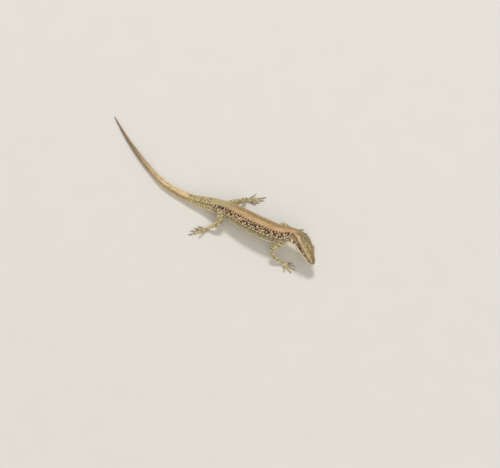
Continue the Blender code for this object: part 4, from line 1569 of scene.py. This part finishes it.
def body_scales(skin, finish):
    """Every small scale on the animal."""
    dome, shingle, smooth = [scale_shape(name, *form) for name, form in SCALE_SHAPES.items()]

    back = Roots(skin)
    before_plates = PLACE["vent"] + 2.15
    grow_rows(back, PLACE["vent"] + 0.2, before_plates, columns=80, height=0.115, longer=0.98,
              keep=off_the_preanal)
    grow_rows(back, before_plates, COLLAR, columns=58, height=0.115, longer=0.98, keep=not_on_ear,
              share=1 - BELLY_SHARE)
    neck = Roots(skin)
    neck_end, chin_start = BODY.length - NECK_SCALES, BODY.length - CHIN_SCALES
    grow_rows(neck, COLLAR + 0.2, neck_end, columns=78, height=0.10, longer=1.0, keep=off_the_collar)
    head = Roots(skin)
    for start, end, columns, height in ((neck_end, chin_start, 74, 0.075),
                                        (chin_start, BODY.length - CHIN_FRONT, 44, 0.065)):
        grow_rows(head, start, end, columns, height, longer=0.95, keep=off_the_shields,
                  most_gap=HEAD_ROOT_GAP)
    middle = (PLACE["pelvis"] + PLACE["shoulder"]) / 2

    def rear_half(places):
        return BODY.nearest(places) < middle

    lay_scales("trunk_scales_rear", back, dome, finish, 11, select=rear_half)
    lay_scales("trunk_scales_front", back, dome, finish, 12, select=lambda p: ~rear_half(p))
    lay_scales("neck_scales", neck, dome, finish, 13)
    lay_scales("head_scales", head, dome, finish, 14)

    base = Roots(skin)
    grow_whorls(base, PLACE["regrowth"] + 0.3, PLACE["vent"] + 0.3, pitch=0.72, width=0.62, height=0.15)
    lay_scales("tail_base_scales", base, shingle, finish, 15)
    regrown = Roots(skin)
    grow_whorls(regrown, 0.35, PLACE["regrowth"] + 0.1, pitch=0.50, width=0.44, height=0.085)
    lay_scales("regrown_tail_scales", regrown, smooth, finish, 16, variation=0.05)

    for name, paw in PAWS.items():
        limb, sole = Roots(skin), Roots(skin)
        grow_on_limb(limb, paw)
        grow_on_digits(limb, sole, paw)
        lay_scales(name + "_scales", limb, dome, finish, 17)
        lay_scales(name + "_soles", sole, smooth, finish, 18)

    lids = Roots(skin)
    for side, lid in zip((1, -1), skin.lids):
        centre, _, forward, up = eye_place(side)
        for row in (2, 4, 6, 8, 10):
            chosen = lid.grid[row][(row // 2) % 2 * 2::4]
            chosen = chosen[(chosen - centre) @ up < LID_SCALES_END]
            lids.add(chosen, -forward, (0.115, 0.115, 0.05))
    lay_scales("eyelid_scales", lids, dome, finish, 19)
    for shape in (dome, shingle, smooth):
        bpy.data.objects.remove(shape, do_unlink=True)


# ---------------------------------------------------------------- eyes, ears, nostrils and claws

def ring_round(out, forward, sides):
    """Directions all round an axis that faces outward."""
    spin = np.linspace(0.0, 2 * math.pi, sides, endpoint=False)
    beside = unit(np.cross(out, forward))
    ahead = np.cross(beside, out)
    return ahead * np.cos(spin)[:, None] + beside * np.sin(spin)[:, None]


def turned_ball(centre, out, forward, radius, segments=48, rings=36):
    """A ball whose pole faces outward, with each point's distance from the pole's axis."""
    tilt = np.linspace(0.0, math.pi, rings)
    ring = ring_round(out, forward, segments)
    rows = [centre + radius * (out * math.cos(t) + ring * math.sin(t)) for t in tilt[1:-1]]
    points = np.concatenate(rows + [[centre + out * radius, centre - out * radius]])
    reach = np.concatenate([np.full(segments, math.sin(t) if math.cos(t) > 0 else 1.5) for t in tilt[1:-1]]
                           + [[0.0, 1.5]])
    faces = loft_faces(rings - 2, segments, closed=False)
    last = (rings - 3) * segments
    top, bottom = len(points) - 2, len(points) - 1
    for index in range(segments):
        beside_index = (index + 1) % segments
        faces.append((beside_index, index, top))
        faces.append((last + index, last + beside_index, bottom))
    return points, outward(points - centre, faces), reach * radius


def small_piece(name, points, faces, places, finish, slot, **attributes):
    """A small piece with a plain map of its own, from places spread over the unit square."""
    mesh = smooth_mesh(name, points, faces, attributes)
    keep_map(mesh, 0.5 + SMALL_MAP * places)
    return finished_piece(name, mesh, finish)


def eyes(finish):
    for side_name, side in SIDES:
        centre, out, forward, up = eye_place(side)
        gaze = unit(out + 0.10 * forward + 0.06 * up)
        points, faces, reach = turned_ball(centre, gaze, forward, EYE_RADIUS)
        offset = points - centre
        depth = np.arccos(np.clip(offset @ gaze / EYE_RADIUS, -1, 1)) / math.pi
        level = unit(forward - gaze * (forward @ gaze))
        flat = np.stack((offset @ level, offset @ np.cross(gaze, level)), axis=1)
        places = unit(flat + 1e-9) * depth[:, None]
        piece = small_piece(f"eyeball_{side_name}", points, faces, places, finish, "eye", reach=reach)
        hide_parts("eye_" + side_name)


def dish(centre, out, forward, radius, depth, thickness, sides=32):
    """A shallow round dish, closed behind."""
    ring = ring_round(out, forward, sides)
    levels = [(share, -depth * (1 - share**2)) for share in (0.12, 0.35, 0.6, 0.82, 1.0)]
    levels += [(1.02, -thickness), (0.12, -thickness)]
    grid = np.array([centre + ring * radius * share + out * height for share, height in levels])
    points, faces = loft(grid)
    return points, outward(points - centre, faces), np.concatenate([np.full(sides, s) for s, _ in levels])


def ears_and_nostrils(skin):
    eardrum, nostril = plain_finish("eardrum"), plain_finish("nostril")
    for side_name, side in SIDES:
        s = BODY.length - EAR_FROM_SNOUT
        _, forward, left, _ = body_frame(s)
        out = left * side
        centre = head_side(EAR_FROM_SNOUT, EAR_RISE, side, EARDRUM_DEPTH + 0.12)
        points, faces, reach = dish(centre, out, forward, EARDRUM_RADIUS + 0.05, depth=0.10, thickness=0.30)
        flat = np.stack(((points - centre) @ forward, points[:, 2] - centre[2]), axis=1)
        piece = small_piece(f"ear_{side_name}", points, faces, flat, eardrum, "eardrum", reach=reach)
        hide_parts("eardrum_" + side_name)
    # The nostrils: a shallow dish on the skin at each, finished near-black as painted shade for the opening
    shapes = []
    for side in (1, -1):
        start = head_side(np.array([NOSTRIL_FROM_SNOUT]), NOSTRIL_RISE, side, COAT)
        places, normals, _ = skin.nearest(start)
        _, forward, left, _ = body_frame(BODY.length - NOSTRIL_FROM_SNOUT)
        out = unit(left * side + normals[0])
        centre = places[0] + out * 0.03
        points, faces, _ = dish(centre, out, forward, radius=0.19, depth=0.08, thickness=0.18, sides=16)
        shapes.append((points, faces))
    points, faces = join_shapes(shapes)
    flat = points[:, [1, 2]] - points[:, [1, 2]].mean(axis=0)
    small_piece("nostrils", points, faces, flat / np.abs(flat).max(), nostril, "eardrum")


def claws(finish):
    """Twenty hooked claws, each flattened from side to side."""
    shapes, along = [], []
    digits = [digit for paw in PAWS.values() for digit in paw.digits]
    for number, digit in enumerate(digits):
        root, ahead, left, _ = digit.frame(digit.length - 0.25)
        ahead = unit(ahead * np.array((1, 1, 0)))
        share = np.linspace(0.0, 1.0, 11)
        spin = np.linspace(0.0, 2 * math.pi, 9, endpoint=False)
        rise = 0.34 + 0.22 * np.sin(share * 2.1) - 0.46 * share**2.2
        width = 0.15 * (1 - share) ** 0.75 + 0.012
        depth = 0.20 * (1 - share) ** 0.85 + 0.012
        centre = root * np.array((1, 1, 0)) + ahead * (share * (CLAW_LENGTH + 0.1))[:, None]
        grid = centre[:, None] + left * (width[:, None] * np.cos(spin))[..., None]
        grid = grid + np.array((0, 0, 1.0)) * (rise[:, None] + depth[:, None] * np.sin(spin))[..., None]
        grid[..., 2] = np.maximum(grid[..., 2], FLOOR_CLEARANCE)
        points, faces = loft(grid)
        shapes.append((points, outward(points - points.mean(axis=0), faces)))
        place = np.stack(np.broadcast_arrays(share[:, None], spin[None] / 6.3), axis=-1).reshape(-1, 2)
        along.append(np.column_stack((place[:, 0] * 0.19 + 0.2 * (number % 5),
                                      place[:, 1] * 0.22 + 0.25 * (number // 5))))
    points, faces = join_shapes(shapes)
    places = np.concatenate(along)
    reach = (places[:, 0] % 0.2) / 0.19
    small_piece("claws", points, faces, places * 2 - 1, finish, "claw", reach=reach)


# ---------------------------------------------------------------- finishes

def shade(*colour):
    """A colour as the eye names it, red, green and blue from 0 to 255, in the shader's own scale."""
    parts = [value / 255 for value in colour]
    return (*(v / 12.92 if v <= 0.04045 else ((v + 0.055) / 1.055) ** 2.4 for v in parts), 1.0)


OLIVE = shade(176, 152, 106)
DARK_OLIVE = shade(108, 86, 54)
GOLD = shade(212, 174, 124)
PALE_GOLD = shade(228, 196, 152)
UMBER = shade(76, 52, 32)
BROWN = shade(118, 90, 58)
ROSY_CREAM = shade(234, 206, 166)
GREY_OLIVE = shade(162, 146, 106)
CREAM = shade(238, 222, 180)
GREY_GREEN = shade(186, 174, 138)
BELLY_COLOUR = shade(228, 214, 176)
TAIL_GREEN = shade(208, 192, 146)
TAIL_BROWN = shade(182, 154, 112)
TAIL_LIGHT = shade(236, 208, 160)
TAIL_DARK = shade(98, 76, 48)
TAIL_GREY = shade(130, 107, 75)
HEAD_BROWN = shade(144, 125, 88)
# painted highlight: the pale streaks along the crown's shields
CROWN_HIGHLIGHT = shade(192, 170, 120)
LIP = shade(253, 243, 212)
RIDGE = shade(214, 188, 146)
TEMPLE = shade(158, 130, 90)
JAW = shade(206, 190, 146)
THROAT = shade(226, 208, 162)
LIMB_COLOUR = shade(206, 188, 144)
LIMB_DARK = shade(98, 78, 50)
# painted shade: the near-black of the nostrils' dishes stands in for the shade inside each opening
NOSTRIL_SHADE_BLACK = shade(34, 26, 20)


class Finish(Sheet):
    """A material written as expressions, with its one shader."""

    def __init__(self, name):
        self.material = bpy.data.materials.new(name)
        self.material.use_nodes = True
        super().__init__(self.material.node_tree)
        self.tree.nodes.clear()
        self.shader = self.tree.nodes.new("ShaderNodeBsdfPrincipled")
        output = self.tree.nodes.new("ShaderNodeOutputMaterial")
        self.tree.links.new(self.shader.outputs["BSDF"], output.inputs["Surface"])

    def feed(self, **sockets):
        for key, value in sockets.items():
            self.put(self.shader.inputs[key.replace("_", " ")], value)
        return self.material

    def attribute(self, name, output="Vector"):
        settings = {"attribute_type": "GEOMETRY", "attribute_name": name}
        return self.node("ShaderNodeAttribute", settings)[output]

    def darkened(self, colour, factor):
        """A colour times a number that changes over the surface."""
        grey = self.node("ShaderNodeCombineColor", None, {"Red": factor, "Green": factor, "Blue": factor})
        return self.blend(1.0, colour, grey["Color"], "MULTIPLY")

    def noise(self, vector, scale, detail=2.0):
        values = {"Vector": vector, "Scale": scale, "Detail": detail}
        return self.node("ShaderNodeTexNoise", {"noise_dimensions": "3D"}, values)["Fac"]

    def cells(self, vector, scale, space="3D"):
        """The distance from the middle of the nearest of many scattered spots."""
        values = {"Vector": vector, "Scale": scale, "Randomness": 0.85}
        settings = {"feature": "F1", "voronoi_dimensions": space}
        return self.node("ShaderNodeTexVoronoi", settings, values)["Distance"]

    def chance(self, vector):
        return self.node("ShaderNodeTexWhiteNoise", {"noise_dimensions": "3D"}, {"Vector": vector})["Value"]

    def object_place(self):
        return self.node("ShaderNodeTexCoord")["Object"]

    def bump(self, height, strength, distance):
        values = {"Height": height, "Strength": strength, "Distance": distance}
        return self.node("ShaderNodeBump", None, values)["Normal"]


def trunk_colour(f, s, arc, side, spot, lump):
    """Olive crown, golden back, dark netted flank with rosy spots, pale lower flank and belly."""
    cell = f.triple(s, arc * 1.05, 4.0)
    streak = f.noise(f.triple(s * 0.16, arc * 1.6), 1.0)
    from_crown = side - (arc * 12.5).above(0.0).below(22.0) + lump * 10
    specks = f.cells(cell, 1.05, "2D").falls(0.22, 0.40) * f.noise(spot, 0.6).rises(0.34, 0.50)
    colour = f.blend(streak.rises(0.45, 0.70) * 0.40, OLIVE, GOLD)
    colour = f.blend(specks * from_crown.falls(16, 26) * 0.75, colour, DARK_OLIVE)
    golden = f.blend(streak.rises(0.38, 0.66), GOLD, PALE_GOLD)
    golden = f.blend(specks * 0.35, golden, DARK_OLIVE)
    rear = PLACE["vent"]
    gilded = from_crown.rises(5, 18) * (s + lump * 6).rises(rear + 2, rear + 15)
    colour = f.blend(gilded, colour, golden)
    colour = f.blend(s.falls(rear + 3, rear + 15) * 0.8, colour, TAIL_GREEN)
    teeth = (s * (2 * math.pi / 1.65) + lump * 3).sine() * 4.2
    edge = side + teeth + lump * 5
    flank = f.blend(f.noise(spot, 1.1).rises(0.45, 0.66), UMBER, BROWN)
    bars = f.triple(s * 1.08, arc * 0.85, 4.0)
    spots = f.cells(bars, 0.86, "2D").falls(0.30, 0.41)
    flank = f.blend(spots * side.within(55, 80, 3), flank, ROSY_CREAM)
    colour = f.blend(edge.rises(48.5, 51.0), colour, flank)
    colour = f.blend((side + lump * 10).rises(78, 82), colour, GREY_OLIVE)
    beads = (s * (2 * math.pi / 2.1) + lump * 3).sine()
    colour = f.blend(beads.rises(-0.4, 0.3) * (side + lump * 5).within(80, 86, 1.5), colour, CREAM)
    dashes = f.noise(f.triple(s, 3.0), 0.75).rises(0.42, 0.52)
    colour = f.blend(dashes * (side + lump * 6).within(87, 92, 1.4) * 0.85, colour, UMBER)
    colour = f.blend((side + lump * 8).rises(91, 97), colour, GREY_GREEN)
    marks = f.cells(cell, 0.70, "2D").falls(0.22, 0.36) * side.within(94, 113, 3)
    colour = f.blend(marks * 0.8, colour, DARK_OLIVE)
    belly_marks = f.cells(cell, 0.55, "2D").falls(0.14, 0.26) * side.within(112, 128, 4)
    belly = f.blend(belly_marks * 0.5, BELLY_COLOUR, LIMB_DARK)
    return f.blend(side.rises(110, 116), colour, belly)


def tail_colour(f, s, arc, side, spot, lump):
    """The pale spotted base, then the plainer regrown tail, with a sharp edge between them."""
    base = f.blend(side.falls(16, 34) * 0.35, TAIL_GREEN, OLIVE)
    beat = (s * (2 * math.pi / 1.75)).sine()
    toothed = side + beat * 6.0 + lump * 6
    line = toothed.within(51, 60, 2) + beat.rises(0.2, 0.6) * side.within(44, 60, 3)
    low_spots = beat.falls(-0.4, 0.0) * (side + lump * 8).within(80, 96, 4)
    top_spots = f.cells(f.triple(s, arc, 2.0), 0.80, "2D").falls(0.24, 0.38) * side.falls(34, 40)
    base = f.blend((line + low_spots + top_spots * 0.7).below(1.0) * 0.9, base, TAIL_DARK)
    base = f.blend(side.rises(104, 125), base, BELLY_COLOUR)
    streak = f.noise(f.triple(s * 0.12, arc * 1.9, 9.0), 1.0)
    regrown = f.blend((streak + side.within(8, 44, 8) * 0.2).rises(0.40, 0.66), TAIL_BROWN, TAIL_LIGHT)
    regrown = f.blend(f.noise(spot, 0.9).rises(0.5, 0.66) * 0.35, regrown, TAIL_DARK)
    regrown = f.blend((side + lump * 10).within(60, 76, 5) * 0.6, regrown, TAIL_DARK)
    regrown = f.blend(side.rises(92, 125), regrown, TAIL_LIGHT)
    greyer = s.falls(PLACE["regrowth"] * 0.25, PLACE["regrowth"] * 0.85) * 0.85
    regrown = f.blend(greyer, regrown, TAIL_GREY)
    return f.blend((s + lump * 1.5).rises(PLACE["regrowth"] - 0.15, PLACE["regrowth"] + 0.15), regrown, base)


def head_colour(f, s, arc, side, spot, lump):
    """Brown shields with pale streaks of painted highlight along them, a golden brow line with a dark streak
    below it that is partly painted shadow, a brown temple, and cream lips round a dark mouth.
    """
    # painted highlight: the pale streaks along the crown stand for light caught along the shields' edges
    streak = f.noise(f.triple(s * 0.35, arc * 1.3, 5.0), 0.9, 3.0)
    crown = f.blend(streak.rises(0.44, 0.62), HEAD_BROWN, CROWN_HIGHLIGHT)
    crown = f.blend(f.noise(spot, 1.2).rises(0.56, 0.66) * 0.5, crown, DARK_OLIVE)
    colour = f.blend((side + lump * 5).within(46, 61, 2.5), crown, RIDGE)
    temple = f.blend(f.cells(spot, 0.75).falls(0.22, 0.42), TEMPLE, ROSY_CREAM)
    temple = f.blend(f.noise(spot, 1.3).rises(0.50, 0.62) * 0.8, temple, DARK_OLIVE)
    colour = f.blend(side.rises(61, 64), colour, temple)
    # a dark streak below the golden brow line: the loreal streak's own colour, and partly painted shadow
    # under the ridge
    colour = f.blend((side + lump * 3).within(62.5, 66.5, 1.2) * 0.85, colour, UMBER)
    colour = f.blend((side + lump * 3).within(81, 85, 1.2) * 0.8, colour, BROWN)
    colour = f.blend(side.rises(84.5, 86.5), colour, LIP)
    sutures = (s * (2 * math.pi / 1.35)).sine().rises(0.72, 0.95) * side.within(90, 120, 4)
    colour = f.blend(sutures * 0.35, colour, BROWN)
    colour = f.blend(side.within(103.6, 106.4, 0.8) * 0.85, colour, UMBER)
    colour = f.blend((side + lump * 6).rises(119, 124), colour, JAW)
    return f.blend(side.rises(132, 145), colour, THROAT)


def limb_colour(f, facing, spot):
    """Buff, with dark mottling and pale spots above and a plain pale underside."""
    mottle = f.noise(spot, 1.05, 3.0).rises(0.50, 0.59)
    colour = f.blend(mottle * 0.85, LIMB_COLOUR, LIMB_DARK)
    pale = f.cells(spot, 0.70).falls(0.24, 0.36)
    colour = f.blend(pale * 0.85, colour, CREAM)
    return f.blend(facing.falls(-0.55, -0.05), colour, BELLY_COLOUR)


def markings(f):
    """The animal's whole pattern, from the attributes that the skin and every scale carry."""
    s, arc, side = f.parts(f.attribute("chart"))
    head, limb, facing = f.parts(f.attribute("zone"))
    spot = f.attribute("spot")
    lump = f.noise(spot, 0.45) - 0.5
    colour = trunk_colour(f, s, arc, side, spot, lump)
    vent = PLACE["vent"]
    colour = f.blend(s.falls(vent - 2.5, vent + 1.5), colour, tail_colour(f, s, arc, side, spot, lump))
    colour = f.blend(head, colour, head_colour(f, s, arc, side, spot, lump))
    return f.blend(limb, colour, limb_colour(f, facing, spot)), spot


def skin_finish():
    """The thin skin that shows between the scales and over the lids and lips."""
    f = Finish("bare skin")
    colour, _ = markings(f)
    place = f.object_place()
    grain = f.noise(place, 5200.0, 3.0)
    creases = f.cells(place, 6500.0)
    colour = f.darkened(colour, 0.62 + grain * 0.3)
    return f.feed(Base_Color=colour, Roughness=0.50 + grain * 0.2,
                  Normal=f.bump(creases + grain * 0.5, 0.35, 0.00005))


def scale_finish():
    """Small scales: one colour each, with a fine satin grain."""
    f = Finish("small scales")
    colour, spot = markings(f)
    grain = f.noise(f.object_place(), 9000.0, 2.0)
    tone = 0.86 + f.chance(spot) * 0.26 + grain * 0.06
    return f.feed(Base_Color=f.darkened(colour, tone), Roughness=0.40 + grain * 0.18,
                  Specular_IOR_Level=0.35, Normal=f.bump(grain, 0.25, 0.00003))


def plate_finish(name, suture_shade_depth, roughness, pits):
    """Shields and plates: marbled inside, with a darker suture round each, partly painted shade on the
    bevelled edge where it dips into the gap, and painted shade in the pits.
    """
    f = Finish(name)
    colour, _ = markings(f)
    rim = f.attribute("rim", "Fac")
    place = f.object_place()
    grain = f.noise(place, 4200.0, 4.0)
    # painted shade in each pit: the spots that the bump dents are darkened too
    shaded_pit = f.cells(place, 2600.0).falls(0.10, 0.24) * pits
    # the darker rim: partly the suture's own colour, partly painted shade on the bevelled edge and wall in
    # the gap between plates
    tone = 1.0 - rim.rises(0.5, 1.0) * suture_shade_depth - shaded_pit * 0.25 + (grain - 0.5) * 0.16
    return f.feed(Base_Color=f.darkened(colour, tone), Roughness=roughness + grain * 0.16,
                  Specular_IOR_Level=0.45, Normal=f.bump(grain - shaded_pit, 0.30, 0.00004))


def eye_finish():
    """A round black pupil in a dark copper iris, under a wet cornea."""
    f = Finish("wet eye")
    reach = f.attribute("reach", "Fac")
    place = f.object_place()
    rays = f.noise(place, 5200.0, 4.0)
    iris = f.blend(rays.rises(0.35, 0.65), shade(74, 42, 18), shade(150, 98, 42))
    iris = f.blend(reach.within(0.60, 0.69, 0.03), iris, shade(206, 158, 84))
    colour = f.blend((reach + rays * 0.05).falls(0.60, 0.65), iris, shade(6, 5, 4))
    colour = f.blend(reach.rises(0.88, 1.04), colour, shade(20, 13, 8))
    return f.feed(Base_Color=colour, Roughness=0.14 + rays * 0.05, Specular_IOR_Level=0.1,
                  Coat_Weight=1.0, Coat_Roughness=0.03,
                  Normal=f.bump(rays, 0.08, 0.00003))


# Each plain finish: the grain's size and detail, two colours, where the second takes over along the
# piece (the grain's share, from, to), the roughness and the grain's share in it, and the bump
PLAIN_FINISHES = {
    "eardrum": (3600.0, 3.0, (shade(122, 98, 70), shade(48, 35, 25)), (0.2, 0.35, 1.1), (0.34, 0.2),
                (0.3, 0.00004)),
    # the nostril's dark colours are painted shade for the opening that the dish stands in for
    "nostril": (5000.0, 2.0, (NOSTRIL_SHADE_BLACK, shade(58, 44, 32)), None, (0.6, 0.2), (0.2, 0.00002)),
    "claw horn": (7000.0, 3.0, (shade(66, 48, 32), shade(150, 120, 84)), (0.3, 0.2, 1.0), (0.28, 0.15),
                  (0.2, 0.00002)),
    "pale floor": (60.0, 3.0, (shade(226, 224, 219), shade(231, 229, 224)), None, (0.85, 0.05),
                   (0.02, 0.0002)),
}


def plain_finish(name):
    size, detail, colours, along, roughness, bump = PLAIN_FINISHES[name]
    f = Finish(name)
    grain = f.noise(f.object_place(), size, detail)
    share = grain
    if along:
        share = (f.attribute("reach", "Fac") + grain * along[0]).rises(along[1], along[2])
    return f.feed(Base_Color=f.blend(share, *colours), Roughness=roughness[0] + grain * roughness[1],
                  Normal=f.bump(grain, *bump))


# ---------------------------------------------------------------- the pieces and the room

def skin_piece(skin, finish):
    siting = Siting(skin.points)
    mesh = smooth_mesh("skin", skin.points, skin.triangles, siting.attributes(skin.normals))
    keep_map(mesh, skin_unwrap(skin.points, skin.triangles, siting, skin.normals))
    piece = finished_piece("lizard_skin", mesh, finish)
    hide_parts(*FLESH)


# The camera, over the right shoulder, and the room's light
AZIMUTH = math.radians(33.0)
ELEVATION = math.radians(45.0)
CAMERA_DISTANCE = 1.0
LENS = 144.0
SENSOR = 36.0
PELVIS_IN_FRAME = (-0.044, 0.048)       # of the frame's width, right of and above its middle
LAMPS = {       # place, width, power and colour; each faces the lizard
    "key": ((-0.75, 1.65, 2.55), 0.90, 48.0, (1.0, 0.96, 0.90)),
    "fill": ((1.95, -2.25, 1.65), 2.40, 42.0, (1.0, 0.98, 0.95)),
}
HORIZON = (0.78, 0.76, 0.73, 1.0)
OVERHEAD = (0.40, 0.398, 0.39, 1.0)


def aim_camera():
    back = Vector((math.sin(AZIMUTH) * math.cos(ELEVATION), -math.cos(AZIMUTH) * math.cos(ELEVATION),
                   math.sin(ELEVATION)))
    right = Vector((math.cos(AZIMUTH), math.sin(AZIMUTH), 0.0))
    up = back.cross(right)
    across = PELVIS_IN_FRAME[0] * SENSOR / LENS
    above = PELVIS_IN_FRAME[1] * SENSOR / LENS
    pelvis = Vector(to_frame(BODY_STATIONS["pelvis"][:3]))
    place = pelvis - (-back + right * across + up * above) * CAMERA_DISTANCE
    data = bpy.data.cameras.new("camera")
    data.lens = LENS
    data.sensor_width = SENSOR
    data.clip_start = 0.01
    camera = new_object("camera", data)
    camera.matrix_world = Matrix.Translation(place) @ Matrix((right, up, back)).transposed().to_4x4()
    bpy.context.scene.camera = camera


def light_room():
    """A soft key behind the left shoulder, a wide fill in front, and a pale room, brighter at the horizon
    than overhead.
    """
    for name, (place, width, power, colour) in LAMPS.items():
        data = bpy.data.lights.new(name, "AREA")
        data.shape = "DISK"
        data.size = width
        data.energy = power
        data.color = colour
        lamp = new_object(name, data)
        lamp.location = place
        lamp.rotation_euler = (-Vector(place)).to_track_quat("-Z", "Y").to_euler()
    world = bpy.data.worlds.new("pale room")
    world.use_nodes = True
    sheet = Sheet(world.node_tree)
    direction = sheet.node("ShaderNodeTexCoord")["Generated"]
    _, _, rise = sheet.parts(direction)
    colour = sheet.blend(rise.rises(0.0, 0.50), HORIZON, OVERHEAD)
    world.node_tree.links.new(colour.socket, world.node_tree.nodes["Background"].inputs["Color"])
    bpy.context.scene.world = world
    bpy.context.scene.view_settings.view_transform = "Standard"


def lay_floor():
    half = 3.0
    mesh = plain_mesh("floor", [(-half, -half, 0), (half, -half, 0), (half, half, 0), (-half, half, 0)],
                      [(0, 1, 2, 3)])
    mesh.materials.append(plain_finish("pale floor"))
    new_object("floor", mesh)


LAYING = scale_laying_tree()
aim_camera()
light_room()
lay_floor()
lizard = Skin()
skin_piece(lizard, skin_finish())
head_shields(lizard, plate_finish("head shields", 0.55, 0.34, 1.0))
belly_plates(lizard, plate_finish("belly plates", 0.35, 0.34, 0.0))
body_scales(lizard, scale_finish())
eyes(eye_finish())
ears_and_nostrils(lizard)
claws(plain_finish("claw horn"))
